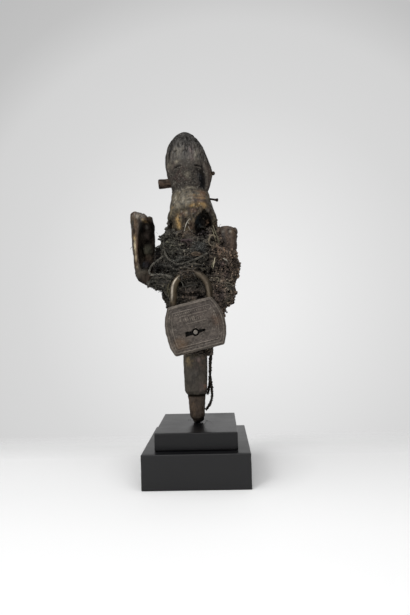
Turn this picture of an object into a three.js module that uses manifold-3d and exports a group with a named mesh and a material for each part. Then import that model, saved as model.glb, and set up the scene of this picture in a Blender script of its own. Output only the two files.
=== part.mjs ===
// A carved wooden power figure on a two-step plinth, bound with cord and crust, with a padlock hung in front.
// Millimetres, +Z up, front towards -Y, origin at the centre of the plinth's underside.

import * as THREE from 'three';
import { mergeVertices } from 'three/addons/utils/BufferGeometryUtils.js';
import { RoundedBoxGeometry } from 'three/addons/geometries/RoundedBoxGeometry.js';
import Module from 'manifold-3d';

const wasm = await Module();
wasm.setup();

// Driving dimensions

const GAP = 0.3; // between pieces that touch
const SLIVER = 0.03; // the thinnest face kept after a cut
const LOWER = { width: 100, depth: 115, height: 32.5 };
const UPPER = { width: 77.5, depth: 92.5, height: 16.5 };
const PLINTH_EDGE = 0.8; // eased edges

const CASE = { width: 57.2, top: 43, bottom: 45, height: 47.4, thick: 15, edge: 1.4, corner: 1.6, lean: 13 };
const LOCK = { x: 1.6, y: -30.5, z: 147.6 }; // the case's middle
const SHACKLE = { rod: 3.3, radius: 16.9, splay: 5, longLeg: 23, shortLeg: 17, x: -1.7, z: 181.8, lean: 1.5 };
const KEYHOLE = {
  x: -1.2, z: -5.7, ring: 3.6, pin: 2.2, reach: 9.6, slot: 4.4, waist: 3.4, taper: 1.8, deep: 5,
};
const PANEL = { inset: 4.2, deep: 0.5 }; // the sunk field inside the case's raised border

const CORD = 2.0; // diameter of the free cords
const CORD_SIDES = 8;
const ON_TOP = CORD / 2 + 1.3; // how far a cord's middle stays off the bundle

// Materials

function finish(color, roughness, metalness = 0) {
  return new THREE.MeshStandardMaterial({ color, roughness, metalness });
}

const blackPaint = finish(0x2b2b2d, 0.42);
const darkWood = finish(0x453e35, 0.75);
const brownWood = finish(0x4f3f30, 0.6);
const pegWood = finish(0x50372b, 0.7);
const crust = finish(0x38352f, 0.9);
const string = finish(0x4b4b42, 0.9);
const agedSteel = finish(0x5b534d, 0.55, 0.7);
const bronze = finish(0x7d6f57, 0.45, 0.8);
const rustyIron = finish(0x2f2722, 0.8, 0.4);

// Solids and booleans

function solid(geometry) {
  const bare = geometry.index ? geometry.toNonIndexed() : geometry.clone();
  bare.deleteAttribute('normal');
  bare.deleteAttribute('uv');
  const merged = mergeVertices(bare, 1e-4);
  return new wasm.Manifold(new wasm.Mesh({
    numProp: 3,
    vertProperties: merged.attributes.position.array,
    triVerts: new Uint32Array(merged.index.array),
  }));
}

// The largest body of a boolean's result, without the slivers that the cuts leave.
function geometryOf(manifold) {
  const [body] = manifold.simplify(SLIVER).decompose().sort((a, b) => b.volume() - a.volume());
  const { vertProperties, triVerts } = body.getMesh();
  const geometry = new THREE.BufferGeometry();
  geometry.setAttribute('position', new THREE.BufferAttribute(vertProperties, 3));
  geometry.setIndex(new THREE.BufferAttribute(triVerts, 1));
  return geometry.toNonIndexed();
}

// A smooth curve through stations that never overshoots them, read for one of their values.
function through(stations, key, at) {
  const z = stations.map((s) => s.z);
  const v = stations.map((s) => s[key]);
  const last = z.length - 1;
  if (at <= z[0]) return v[0];
  if (at >= z[last]) return v[last];
  const slope = (i) => (v[i + 1] - v[i]) / (z[i + 1] - z[i]);
  const tangent = (i) => {
    if (i === 0) return slope(0);
    if (i === last) return slope(last - 1);
    const before = slope(i - 1);
    const after = slope(i);
    return before * after <= 0 ? 0 : (2 * before * after) / (before + after);
  };
  let i = 0;
  while (at > z[i + 1]) i += 1;
  const span = z[i + 1] - z[i];
  const t = (at - z[i]) / span;
  return (2 * t ** 3 - 3 * t ** 2 + 1) * v[i] + (t ** 3 - 2 * t ** 2 + t) * span * tangent(i)
    + (3 * t ** 2 - 2 * t ** 3) * v[i + 1] + (t ** 3 - t ** 2) * span * tangent(i + 1);
}

// Heights of the rings: every station, and between them one about every `step`.
function ringHeights(stations, step) {
  const heights = [stations[0].z];
  for (let i = 1; i < stations.length; i += 1) {
    const from = stations[i - 1].z;
    const count = Math.max(1, Math.round((stations[i].z - from) / step));
    for (let k = 1; k <= count; k += 1) heights.push(from + ((stations[i].z - from) * k) / count);
  }
  return heights;
}

const power = (value, exponent) => Math.sign(value) * Math.abs(value) ** exponent;
const bump = (value, middle, width) => Math.exp(-(((value - middle) / width) ** 2));

// A closed skin over stations {z, x, y, a, b, n}: superellipse sections of half-width a and half-depth b.
// grow thickens it, relief(angle, z) adds to its radius, and shear(x, z) moves a point up.
function skin(stations, { sides, step, grow = 0, relief = () => 0, shear = () => 0 }) {
  const heights = ringHeights(stations, step);
  const profile = [new THREE.Vector2(0, heights[0])];
  heights.forEach((z) => profile.push(new THREE.Vector2(1, z)));
  profile.push(new THREE.Vector2(0, heights[heights.length - 1]));
  const geometry = new THREE.LatheGeometry(profile, sides).rotateX(Math.PI / 2);
  const position = geometry.attributes.position;
  for (let i = 0; i < position.count; i += 1) {
    const z = position.getZ(i);
    const share = Math.hypot(position.getX(i), position.getY(i)) > 0.5 ? 1 : 0;
    const angle = Math.atan2(position.getY(i), position.getX(i));
    const round = 2 / through(stations, 'n', z);
    const added = grow + relief(angle, z);
    const a = through(stations, 'a', z) + added;
    const b = through(stations, 'b', z) + added;
    const x = through(stations, 'x', z) + share * a * power(Math.cos(angle), round);
    const y = through(stations, 'y', z) + share * b * power(Math.sin(angle), round);
    const end = z === heights[0] ? -grow : z === heights[heights.length - 1] ? grow : 0;
    position.setXYZ(i, x, y, z + end + shear(x, z));
  }
  return geometry;
}

// Ends and seams are rounded alike, so that the surface closes.
function closed(geometry) {
  const weld = 1e-3;
  const snap = (value) => Math.round(value / weld) * weld;
  const position = geometry.attributes.position;
  for (let i = 0; i < position.count; i += 1) {
    position.setXYZ(i, snap(position.getX(i)), snap(position.getY(i)), snap(position.getZ(i)));
  }
  return geometry;
}

// Figure: head, neck, chest, hidden trunk, squared shaft and tapered stake, carved from one log

const FIGURE = [
  { z: 49, x: -0.6, y: 0, a: 3.6, b: 3.6, n: 2.2 },
  { z: 52, x: -0.5, y: 0, a: 4.5, b: 4.5, n: 2.2 },
  { z: 55.5, x: 0, y: 0, a: 6.2, b: 6, n: 2.4 },
  { z: 77.6, x: -0.3, y: 0, a: 8.7, b: 8.4, n: 2.8 },
  { z: 78.8, x: -0.3, y: 0, a: 10.2, b: 9.8, n: 3.2 },
  { z: 82, x: -1, y: 0, a: 11.6, b: 11.2, n: 3.6 },
  { z: 100, x: -1, y: 0, a: 11.7, b: 11.2, n: 3.6 },
  { z: 124, x: -0.7, y: 0, a: 12.2, b: 11.6, n: 3.2 },
  { z: 150, x: -0.5, y: 0, a: 14.5, b: 13.5, n: 2.4 },
  { z: 200, x: 0, y: 0, a: 16.5, b: 15, n: 2.2 },
  { z: 228, x: 0.6, y: -0.5, a: 21, b: 17.5, n: 2.2 },
  { z: 246, x: 0.9, y: -1.5, a: 24.8, b: 21, n: 2.3 },
  { z: 256, x: 0, y: -2.2, a: 24.2, b: 21.6, n: 2.3 },
  { z: 268, x: -0.9, y: -2, a: 21.8, b: 20.2, n: 2.2 },
  { z: 278, x: -1.5, y: -0.8, a: 19.6, b: 18, n: 2.1 },
  { z: 284.5, x: -1.8, y: 0, a: 18.4, b: 16.8, n: 2 },
  { z: 291, x: -1.5, y: -0.4, a: 20.2, b: 19.4, n: 2.1 },
  { z: 302, x: -2, y: -0.6, a: 22.9, b: 22.4, n: 2.1 },
  { z: 312, x: -3.6, y: -0.2, a: 23.1, b: 23.6, n: 2.1 },
  { z: 321, x: -5.2, y: 0.4, a: 21.6, b: 22.8, n: 2.1 },
  { z: 330, x: -5.9, y: 1, a: 18.8, b: 20.2, n: 2 },
  { z: 338, x: -6.2, y: 1.6, a: 14.3, b: 15.6, n: 2 },
  { z: 343.6, x: -6.2, y: 2, a: 9.2, b: 10.2, n: 2 },
  { z: 346.6, x: -6.4, y: 2, a: 4.6, b: 5.2, n: 2 },
  { z: 347.6, x: -6.5, y: 2, a: 1.4, b: 1.6, n: 2 },
];

const FRONT = -Math.PI / 2;
const turn = (angle, to) => Math.atan2(Math.sin(angle - to), Math.cos(angle - to));

// A worn, plain face on even proportions, with the ears as low ridges and the chest's forward dome.
function carving(angle, z) {
  const side = turn(angle, FRONT);
  const ear = (middle) => bump(turn(angle, middle), 0, 0.2);
  const eyes = -1.2 * bump(z, 306, 3) * (bump(side, -0.45, 0.2) + bump(side, 0.4, 0.2));
  const brow = 0.9 * bump(z, 311, 3) * bump(side, 0, 0.8);
  const nose = 1.4 * bump(z, 300, 6) * bump(side, 0, 0.2);
  const mouth = 0.7 * bump(z, 291, 3) * bump(side, 0, 0.35);
  const ears = 1.2 * bump(z, 301, 9) * (ear(0.2) + ear(Math.PI - 0.2));
  const dome = 1.6 * bump(z, 268, 9) * bump(side, -0.15, 0.8);
  return eyes + brow + nose + mouth + ears + dome;
}

// The deep arched hollow in the chest's right side, and the shallow one in its left: half-sizes, and a lean.
const HOLLOWS = [
  { at: [11.6, -19.5, 248.4], size: [7.9, 13, 11.2], tilt: 0.16 },
  { at: [-25, -14, 252], size: [4.2, 9, 6.5], tilt: -0.2 },
];

function hollow({ at, size, tilt }) {
  return solid(closed(new THREE.SphereGeometry(1, 12, 8)
    .scale(...size)
    .rotateY(tilt)
    .translate(...at)));
}

const figureSkin = (grow) => solid(closed(skin(FIGURE, { sides: 26, step: 9, grow, relief: carving })));

// Pegs and nails driven into the head and neck: each has a socket in the figure.

const PEGS = [
  { name: 'cheek_peg', radius: 4.5, head: 0, tip: [-34.2, -1, 293.9], inner: [-14, -1, 294.6], of: pegWood },
  { name: 'temple_peg', radius: 1.3, head: 2, tip: [24.2, -2, 303], inner: [12, -2, 303.6], of: pegWood },
  { name: 'neck_nail', radius: 0.8, head: 1.5, tip: [26.8, -4, 274.7], inner: [10, -4, 277.6], of: rustyIron },
];

// A round pin between two points, whose outer end may swell to a head.
function pin({ radius, tip, inner, head }, grow = 0) {
  const from = new THREE.Vector3(...inner);
  const to = new THREE.Vector3(...tip);
  const length = from.distanceTo(to);
  const r = radius + grow;
  const chamfer = radius * 0.2;
  const shank = [[0, -grow], [r, -grow], [r, length - chamfer]];
  const end = head ? [[r, length - 2 * head], [head, length - head * 1.4], [head, length - head * 0.4]] : [];
  const outline = [...shank.slice(0, head ? 2 : 3), ...end, [(head || r) * 0.7, length], [0, length]];
  const geometry = new THREE.LatheGeometry(outline.map(([x, y]) => new THREE.Vector2(x, y)), head ? 12 : 18);
  const way = to.clone().sub(from).normalize();
  const aim = new THREE.Quaternion().setFromUnitVectors(new THREE.Vector3(0, 1, 0), way);
  return closed(geometry.applyQuaternion(aim).translate(from.x, from.y, from.z));
}

// Side pieces: two wooden billets bound upright against the body, scooped hollow on one side

const LEFT_BILLET = [
  { z: 191.5, x: -50.4, y: -1, a: 7.6, b: 7.5, n: 2.2 },
  { z: 195, x: -50.2, y: -1, a: 9.9, b: 10.5, n: 2.2 },
  { z: 204, x: -50.2, y: -1, a: 10.8, b: 12, n: 2.3 },
  { z: 216, x: -50.8, y: -1, a: 11.3, b: 12.6, n: 2.3 },
  { z: 232, x: -51.2, y: -1, a: 11.7, b: 12.8, n: 2.3 },
  { z: 256, x: -51.6, y: -1, a: 12, b: 13, n: 2.4 },
  { z: 260.5, x: -51.8, y: -1, a: 11.2, b: 12, n: 2.3 },
  { z: 263, x: -52, y: -1, a: 8.8, b: 9.6, n: 2.2 },
];
const RIGHT_BILLET = [
  { z: 186, x: 30, y: 1, a: 5.6, b: 7, n: 2.4 },
  { z: 191, x: 31, y: 1, a: 7.4, b: 9, n: 2.6 },
  { z: 205, x: 32.6, y: 1, a: 8.2, b: 10.4, n: 2.8 },
  { z: 226, x: 34.8, y: 1, a: 9.2, b: 12, n: 3 },
  { z: 242, x: 36, y: 1, a: 9.6, b: 12, n: 3 },
  { z: 246, x: 36.2, y: 1, a: 8.8, b: 11, n: 2.8 },
  { z: 247.4, x: 36.2, y: 1, a: 6.6, b: 8.6, n: 2.6 },
];
// A scoop is a long ellipsoid, off the billet's axis towards the way it opens, an angle in degrees.
const SCOOPS = {
  left: { opens: -58, off: 8, size: [8.8, 8.8, 30], z: 226, axis: -50.9, y: -1 },
  right: { opens: 112, off: 8, size: [6, 7, 24], z: 222, axis: 34.5, y: 1 },
};

function scoop({ opens, off, size, z, axis, y }) {
  const way = THREE.MathUtils.degToRad(opens);
  const middle = [axis + off * Math.cos(way), y + off * Math.sin(way), z];
  const ellipsoid = new THREE.SphereGeometry(1, 14, 10).rotateX(Math.PI / 2).scale(...size);
  return solid(closed(ellipsoid.translate(...middle)));
}

// The billets' ends are cut on a slant: the left one's top and foot both fall to the right.
const slant = (x, z, middle, height, low, high) => {
  const share = THREE.MathUtils.smoothstep(z, middle - height, middle + height);
  return (low * (1 - share) + high * share) * x;
};
const leftShear = (x, z) => slant(-(x + 51), z, 229, 34, 0.5, 0.3);
const rightShear = (x, z) => slant(-(x - 35), z, 216, 28, 0.3, 0.1);

const billet = (stations, shear, grow) => solid(closed(skin(stations, { sides: 22, step: 12, grow, shear })));
const leftSkin = (grow) => billet(LEFT_BILLET, leftShear, grow);
const rightSkin = (grow) => billet(RIGHT_BILLET, rightShear, grow);

// Bundle: the wrapped mass of string, cloth and crust round the trunk and the billets' lower ends

const BUNDLE = [
  { z: 124, x: -0.5, y: 0.5, a: 14, b: 13.6, n: 2.6 },
  { z: 134, x: -0.2, y: 0.5, a: 17, b: 16, n: 2.3 },
  { z: 150, x: 0.5, y: 1, a: 24, b: 18.5, n: 2.1 },
  { z: 160, x: 1, y: 0.5, a: 28.8, b: 21, n: 2 },
  { z: 168, x: 4.2, y: 0, a: 32.4, b: 23, n: 2 },
  { z: 177, x: 4.7, y: -0.5, a: 35.2, b: 24.5, n: 2 },
  { z: 184, x: 3.4, y: -0.5, a: 36.8, b: 25, n: 2 },
  { z: 191, x: -1, y: -0.5, a: 42.2, b: 25, n: 2 },
  { z: 202, x: 0.6, y: -0.5, a: 44, b: 25, n: 2 },
  { z: 212, x: 2, y: -0.5, a: 44, b: 25, n: 2 },
  { z: 222, x: 1.2, y: -0.5, a: 41, b: 24.6, n: 2.1 },
  { z: 227.5, x: 0.2, y: -0.5, a: 38.6, b: 24.4, n: 2.1 },
  { z: 232, x: 1.4, y: -0.5, a: 34, b: 24.2, n: 2.1 },
  { z: 239, x: -1.4, y: -1, a: 31, b: 23.8, n: 2.2 },
  { z: 244.5, x: -0.4, y: -1, a: 26.4, b: 22.6, n: 2.2 },
];

// Slanting ridges of windings, and slow lumps of crust.
function windings(angle, z) {
  const ends = THREE.MathUtils.smoothstep(z, 124, 150) * (1 - THREE.MathUtils.smoothstep(z, 236, 244));
  const ridge = 0.55 * Math.sin(z * 0.72 + 2.2 * Math.sin(angle + 0.6));
  const lump = 1.0 * Math.sin(3 * angle + z * 0.11) + 0.7 * Math.sin(5 * angle - z * 0.19 + 1.3);
  return ends * (ridge + lump);
}

// The bundle's top falls to the right, below the hollow in the chest.
const bundleShear = (x, z) => -0.17 * THREE.MathUtils.smoothstep(z, 218, 244.5) * (x + 24);

function bundleSkin() {
  return solid(closed(skin(BUNDLE, { sides: 34, step: 7, relief: windings, shear: bundleShear })));
}

// How far forward the bundle reaches at x and z.
function bundleFront(x, z) {
  const [cx, cy, a, b, n] = ['x', 'y', 'a', 'b', 'n'].map((key) => through(BUNDLE, key, z));
  const share = Math.min(0.995, Math.abs((x - cx) / a));
  return cy - b * (1 - share ** n) ** (1 / n);
}

// Padlock: a barrel-sided steel case, a bronze shackle, and the round pin in its keyhole

// A barrel shape: flat top and bottom, small round corners, and sides that bow out.
function caseOutline(inset = 0) {
  const [top, bottom, middle] = [CASE.top, CASE.bottom, CASE.width].map((width) => width / 2 - inset);
  const up = CASE.height / 2 - inset;
  const bow = 2 * middle - (top + bottom) / 2;
  const cut = CASE.corner;
  const flare = cut / 2;
  const shape = new THREE.Shape();
  shape.moveTo(cut - bottom, -up);
  shape.lineTo(bottom - cut, -up);
  shape.quadraticCurveTo(bottom, -up, bottom + flare, cut - up);
  shape.quadraticCurveTo(bow, 0, top + flare, up - cut);
  shape.quadraticCurveTo(top, up, top - cut, up);
  shape.lineTo(cut - top, up);
  shape.quadraticCurveTo(-top, up, -top - flare, up - cut);
  shape.quadraticCurveTo(-bow, 0, -bottom - flare, cut - up);
  shape.quadraticCurveTo(-bottom, -up, cut - bottom, -up);
  return shape;
}

// A round hole with a slot to each side: the left one widens to a blunt end, and the right one narrows.
function keyholeOutline() {
  const { ring, reach, slot, waist, taper } = KEYHOLE;
  const side = Math.asin(waist / 2 / ring);
  const shape = new THREE.Shape();
  shape.moveTo(-reach, slot / 2);
  shape.lineTo(-reach, -slot / 2);
  shape.absarc(0, 0, ring, Math.PI + side, 2 * Math.PI - side, false);
  shape.lineTo(reach, -taper / 2);
  shape.lineTo(reach, taper / 2);
  shape.absarc(0, 0, ring, side, Math.PI - side, false);
  return shape;
}

// An outline in the lock's face, pushed back from `front` by `depth`. The lock's own y is its thickness.
function slab(shape, front, depth, bevel = 0) {
  const geometry = new THREE.ExtrudeGeometry(shape, {
    depth: depth - 2 * bevel,
    bevelEnabled: bevel > 0,
    bevelThickness: bevel,
    bevelSize: bevel,
    bevelOffset: -bevel,
    bevelSegments: 1,
    curveSegments: 6,
  });
  return geometry.rotateX(Math.PI / 2).translate(0, front + depth - bevel, 0);
}

class ShacklePath extends THREE.Curve {
  // Up the left leg, round the arch and down the right leg, at even speed. The legs splay a little.
  getPoint(t, target = new THREE.Vector3()) {
    const { radius, longLeg, shortLeg } = SHACKLE;
    const splay = THREE.MathUtils.degToRad(SHACKLE.splay);
    const arch = radius * (Math.PI - 2 * splay);
    const along = t * (longLeg + arch + shortLeg) - longLeg;
    const angle = Math.PI - splay - THREE.MathUtils.clamp(along, 0, arch) / radius;
    const before = Math.min(along, 0);
    const after = Math.max(along - arch, 0);
    const x = radius * Math.cos(angle) + (before + after) * Math.sin(splay);
    const z = radius * Math.sin(angle) + (before - after) * Math.cos(splay);
    return target.set(x, 0, z);
  }
}

function disc(radius, sides) {
  const turnOf = (i) => (i * 2 * Math.PI) / sides;
  return new THREE.Shape(Array.from({ length: sides }, (_, i) => (
    new THREE.Vector2(radius * Math.cos(turnOf(i)), radius * Math.sin(turnOf(i))))));
}

function tube(curve, diameter, sides, steps) {
  return new THREE.ExtrudeGeometry(disc(diameter / 2, sides), { steps, extrudePath: curve });
}

// Places in the figure's frame: the worn shackle stands up straighter than the case that hangs on it.
const leaning = (degrees, ...at) => new THREE.Matrix4()
  .makeRotationY(-THREE.MathUtils.degToRad(degrees))
  .setPosition(...at);
const casePlace = leaning(CASE.lean, LOCK.x, LOCK.y, LOCK.z);
const shacklePlace = leaning(SHACKLE.lean, SHACKLE.x, LOCK.y, SHACKLE.z);
const shackleTube = (grow) => tube(new ShacklePath(), 2 * (SHACKLE.rod + grow), 12, 32);
const shackleInCase = () => shackleTube(GAP).applyMatrix4(casePlace.clone().invert().multiply(shacklePlace));

function lockCase() {
  const front = -CASE.thick / 2;
  const sunkField = solid(slab(caseOutline(PANEL.inset), front - 1, 1 + PANEL.deep));
  const keyhole = solid(slab(keyholeOutline(), front - 1, 1 + KEYHOLE.deep)
    .translate(KEYHOLE.x, 0, KEYHOLE.z));
  const rivet = solid(new THREE.CylinderGeometry(2, 2, 2, 16).translate(-19.2, front + PANEL.deep - 0.4, 3));
  return solid(slab(caseOutline(), front, CASE.thick, CASE.edge))
    .subtract(sunkField)
    .subtract(keyhole)
    .subtract(rivet)
    .subtract(solid(shackleInCase()));
}

function keyholePin() {
  const front = -CASE.thick / 2 + PANEL.deep;
  const length = KEYHOLE.deep - PANEL.deep - GAP;
  return new THREE.CylinderGeometry(KEYHOLE.pin, KEYHOLE.pin, length, 16)
    .translate(KEYHOLE.x, front + length / 2, KEYHOLE.z);
}

// The space that the case and its gap take, which presses the crust behind it flat.
const casePocket = () => new THREE.BoxGeometry(CASE.width, CASE.thick + 2 * GAP, CASE.height + 2 * GAP);

// Free cords: each route is a list of points chosen by hand, x, y, z

function route(points) {
  return new THREE.CatmullRomCurve3(points.map((p) => new THREE.Vector3(...p)), false, 'centripetal');
}

const onBundle = (x, z, lift = 0) => [x, bundleFront(x, z) - ON_TOP - lift, z];

const CORDS = {
  hanging_cord: [
    [17.2, -2.5, 130], [16.2, -2.4, 126], [15.3, -2.3, 122], [14.6, -2.2, 117], [14, -2.2, 112],
    [13.7, -2.3, 107], [13.6, -2.6, 102], [13.7, -3, 97], [14, -3, 92.5], [14.4, -2.8, 88],
    [14.9, -2.4, 83.5], [15.2, -2, 79], [15, -1.8, 74.5], [13.9, -1.6, 70.2], [12, -1.4, 66.2],
    [9.8, -1.2, 63.2], [8.4, -1, 61.8],
  ],
  hanging_cord_short: [
    [17.8, 0.6, 129.5], [16.8, 0.7, 125.5], [16, 0.6, 121.5], [15.3, 0.5, 117], [14.7, 0.5, 112.5],
    [14.2, 0.4, 108], [13.9, 0.2, 103.5], [13.6, 0.1, 99], [13.3, 0, 94.6], [13, 0, 90.4], [12.7, 0.1, 86.4],
    [12.3, 0.2, 83], [11.8, 0.2, 80.4], [11, 0.2, 78.4], [10.3, 0.2, 77],
  ],
  side_loop_cord: [
    onBundle(-29.6, 216.8), onBundle(-31.6, 215.2, 1), onBundle(-34.6, 213, 3), [-38, -19.5, 210.6],
    [-40.6, -20.2, 208], [-42.4, -20.8, 204.9], [-43.2, -21.2, 202], [-42.6, -21.6, 200], [-41, -22, 198.9],
    [-38.4, -22.4, 198.7], [-35.4, -22.8, 198.7], [-32.2, -23.8, 198.6], [-29, -25, 198.2],
    onBundle(-25.6, 197.4, 2.4), onBundle(-22.4, 196.4, 2), onBundle(-19.7, 195.4, 2.4),
  ],
  draped_cord: [
    onBundle(-27.8, 234.6), onBundle(-28.2, 230.4), onBundle(-28.2, 226), onBundle(-27.4, 221.6),
    onBundle(-26, 217.8, 0.8), onBundle(-24, 214.4, 1.6), onBundle(-21.4, 211.4, 1.2), onBundle(-18.4, 209.3),
    onBundle(-14.4, 208), onBundle(-10.6, 208), onBundle(-6.4, 208.8), onBundle(-2.2, 210.2),
    onBundle(2, 211.8), onBundle(6, 213.4), onBundle(10.4, 215.4), onBundle(14.6, 217.8),
  ],
};

// Assembly

const power_figure = new THREE.Group();

function add(name, geometry, material, parent = power_figure) {
  const mesh = new THREE.Mesh(geometry, material);
  mesh.name = name;
  parent.add(mesh);
  return mesh;
}

function plinthStep({ width, depth, height }, bottom) {
  return new RoundedBoxGeometry(width, depth, height, 1, PLINTH_EDGE).translate(0, 0, bottom + height / 2);
}

add('plinth_lower', plinthStep(LOWER, 0), blackPaint);
add('plinth_upper', plinthStep(UPPER, LOWER.height), blackPaint);

const cutAway = (whole, cuts) => cuts.reduce((rest, cut) => rest.subtract(cut), whole);
const sockets = PEGS.map((peg) => solid(pin(peg, GAP)));
add('figure', geometryOf(cutAway(figureSkin(0), [...HOLLOWS.map(hollow), ...sockets])), darkWood);
PEGS.forEach((peg) => add(peg.name, pin(peg), peg.of));

add('left_billet', geometryOf(leftSkin(0).subtract(scoop(SCOOPS.left))), brownWood);
add('right_billet', geometryOf(rightSkin(0).subtract(scoop(SCOOPS.right))), brownWood);

const heldInBundle = [
  figureSkin(GAP),
  leftSkin(GAP),
  rightSkin(GAP),
  solid(shackleTube(GAP).applyMatrix4(shacklePlace)),
  solid(casePocket().applyMatrix4(casePlace)),
];
add('bundle', geometryOf(cutAway(bundleSkin(), heldInBundle)), crust);

const lock = new THREE.Group();
lock.applyMatrix4(casePlace);
power_figure.add(lock);
add('padlock_case', geometryOf(lockCase()), agedSteel, lock);
add('padlock_keyhole_pin', keyholePin(), bronze, lock);
add('padlock_shackle', shackleTube(0).applyMatrix4(shacklePlace), bronze);

Object.entries(CORDS).forEach(([name, points]) => {
  const curve = route(points);
  const steps = Math.round(curve.getLength() / (2 * CORD));
  add(name, tube(curve, CORD, CORD_SIDES, steps), string);
});

export default power_figure;
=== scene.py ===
"""Power figure: the visual model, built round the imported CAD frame.

Lengths are millimetres, as in the CAD source, and become metres where a mesh is made. +Z is up, the front
faces -Y, and the origin is the centre of the plinth's underside. A shape is a pair of arrays: points, and
triangles.
"""

import math

import bmesh
import bpy
import numpy as np
from mathutils import Matrix, Vector
from mathutils.bvhtree import BVHTree

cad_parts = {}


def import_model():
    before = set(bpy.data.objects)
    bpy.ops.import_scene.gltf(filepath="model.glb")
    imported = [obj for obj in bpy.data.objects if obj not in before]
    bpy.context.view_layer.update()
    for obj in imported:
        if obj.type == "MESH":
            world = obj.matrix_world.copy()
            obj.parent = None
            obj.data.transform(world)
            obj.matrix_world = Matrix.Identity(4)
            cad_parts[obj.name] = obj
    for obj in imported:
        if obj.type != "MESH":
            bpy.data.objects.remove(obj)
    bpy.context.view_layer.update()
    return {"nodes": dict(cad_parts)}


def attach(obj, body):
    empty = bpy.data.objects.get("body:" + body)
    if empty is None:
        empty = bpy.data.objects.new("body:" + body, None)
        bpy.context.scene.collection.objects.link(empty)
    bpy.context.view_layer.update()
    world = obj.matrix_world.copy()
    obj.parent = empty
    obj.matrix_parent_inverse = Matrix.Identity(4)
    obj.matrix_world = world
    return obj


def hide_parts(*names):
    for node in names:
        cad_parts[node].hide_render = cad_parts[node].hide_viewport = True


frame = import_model()
MM = 0.001

# Camera: where the photograph was taken from, and the angles it looks along

CAMERA_AT = (23.97, -492.77, 154.82)
CAMERA_TURN, CAMERA_PITCH, CAMERA_ROLL = (math.radians(angle) for angle in (-1.592, 1.264, -1.511))
FOCAL_PIXELS = 481.21
FRAME_WIDTH, FRAME_HEIGHT = 410, 615
SENSOR = 36

# Free cords: the routes of the CAD source, x, y, z

CORD = 2.0
ROUTES = {
    "hanging_cord": [
        (17.2, -2.5, 130), (16.2, -2.4, 126), (15.3, -2.3, 122), (14.6, -2.2, 117), (14, -2.2, 112),
        (13.7, -2.3, 107), (13.6, -2.6, 102), (13.7, -3, 97), (14, -3, 92.5), (14.4, -2.8, 88),
        (14.9, -2.4, 83.5), (15.2, -2, 79), (15, -1.8, 74.5), (13.9, -1.6, 70.2), (12, -1.4, 66.2),
        (9.8, -1.2, 63.2), (8.4, -1, 61.8),
    ],
    "hanging_cord_short": [
        (17.8, 0.6, 129.5), (16.8, 0.7, 125.5), (16, 0.6, 121.5), (15.3, 0.5, 117), (14.7, 0.5, 112.5),
        (14.2, 0.4, 108), (13.9, 0.2, 103.5), (13.6, 0.1, 99), (13.3, 0, 94.6), (13, 0, 90.4),
        (12.7, 0.1, 86.4), (12.3, 0.2, 83), (11.8, 0.2, 80.4), (11, 0.2, 78.4), (10.3, 0.2, 77),
    ],
    "side_loop_cord": [
        (-29.6, -20.1, 216.8), (-31.6, -19.9, 215.2), (-34.6, -19.7, 213), (-38, -19.5, 210.6),
        (-40.6, -20.2, 208), (-42.4, -20.8, 204.9), (-43.2, -21.2, 202), (-42.6, -21.6, 200),
        (-41, -22, 198.9), (-38.4, -22.4, 198.7), (-35.4, -22.8, 198.7), (-32.2, -23.8, 198.6),
        (-29, -25, 198.2), (-25.6, -25.5, 197.4), (-22.4, -26.4, 196.4), (-19.7, -27.6, 195.4),
    ],
    "draped_cord": [
        (-27.8, -15.9, 234.6), (-28.2, -17.2, 230.4), (-28.2, -20.3, 226), (-27.4, -21, 221.6),
        (-26, -22.8, 217.8), (-24, -24.6, 214.4), (-21.4, -25.2, 211.4), (-18.4, -25, 209.3),
        (-14.4, -26.1, 208), (-10.6, -26.8, 208), (-6.4, -27.4, 208.8), (-2.2, -27.7, 210.2),
        (2, -27.8, 211.8), (6, -27.7, 213.4), (10.4, -27.3, 215.4), (14.6, -26.6, 217.8),
    ],
}

# The log's own axis, from the foot up: z, x, y

LOG_AXIS = np.array([
    (49, -0.6, 0), (80, -0.5, 0), (150, -0.5, 0), (228, 0.6, -0.5), (246, 0.9, -1.5), (268, -0.9, -2),
    (284, -1.8, 0), (312, -3.6, -0.2), (330, -5.9, 1), (347.6, -6.5, 2),
])

# Padlock, in its own frame: x to the right, y back through its thickness, z up

LOCK_AT = (1.6, -30.5, 147.6)
LOCK_LEAN = math.radians(13)
CASE_WIDTH, CASE_HEIGHT, CASE_THICK = 57.2, 47.4, 15
SHACKLE_AT = (-1.7, -30.5, 181.8)
SHACKLE_LEAN = math.radians(1.5)
SHACKLE_ROD, SHACKLE_RADIUS, SHACKLE_SPLAY = 3.3, 16.9, math.radians(5)
LONG_LEG, SHORT_LEG = 23, 17
KEYHOLE_AT = (-1.2, -5.7)

# Plinth: each step's node, width, depth, bottom, top, seed and gloss

PLINTH_TOP = 49
STEPS = {
    "lower_step": ("plinth_lower", 100, 115, 0, 32.5, 121, 0.4),
    "upper_step": ("plinth_upper", 77.5, 92.5, 32.5, PLINTH_TOP, 122, 0.31),
}


# Numbers and noise

def rise(value, low, high):
    """0 below low, 1 above high, and an eased step between."""
    share = np.clip((value - low) / (high - low), 0, 1)
    return share * share * (3 - 2 * share)


def band(value, middle, width):
    """1 where a value is at the middle, and falling to 0 over a width on either side."""
    return np.exp(-((value - middle) / width) ** 2)


def near(points, centre, size):
    """1 at a place and falling to 0 around it, over a size that may differ along x, y and z."""
    return np.exp(-(((points - np.array(centre)) / size) ** 2).sum(axis=1))


def unit(vectors):
    return vectors / np.maximum(np.linalg.norm(vectors, axis=-1, keepdims=True), 1e-9)


def hashed(cell, seed):
    """A value from 0 to 1 that belongs to each whole-numbered cell."""
    x, y, z = cell.T
    mixed = (x * 73856093) ^ (y * 19349663) ^ (z * 83492791) ^ (seed * 2654435761)
    mixed = (mixed ^ (mixed >> 13)) * 1274126177
    return ((mixed ^ (mixed >> 16)) & 65535) / 65535


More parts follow.
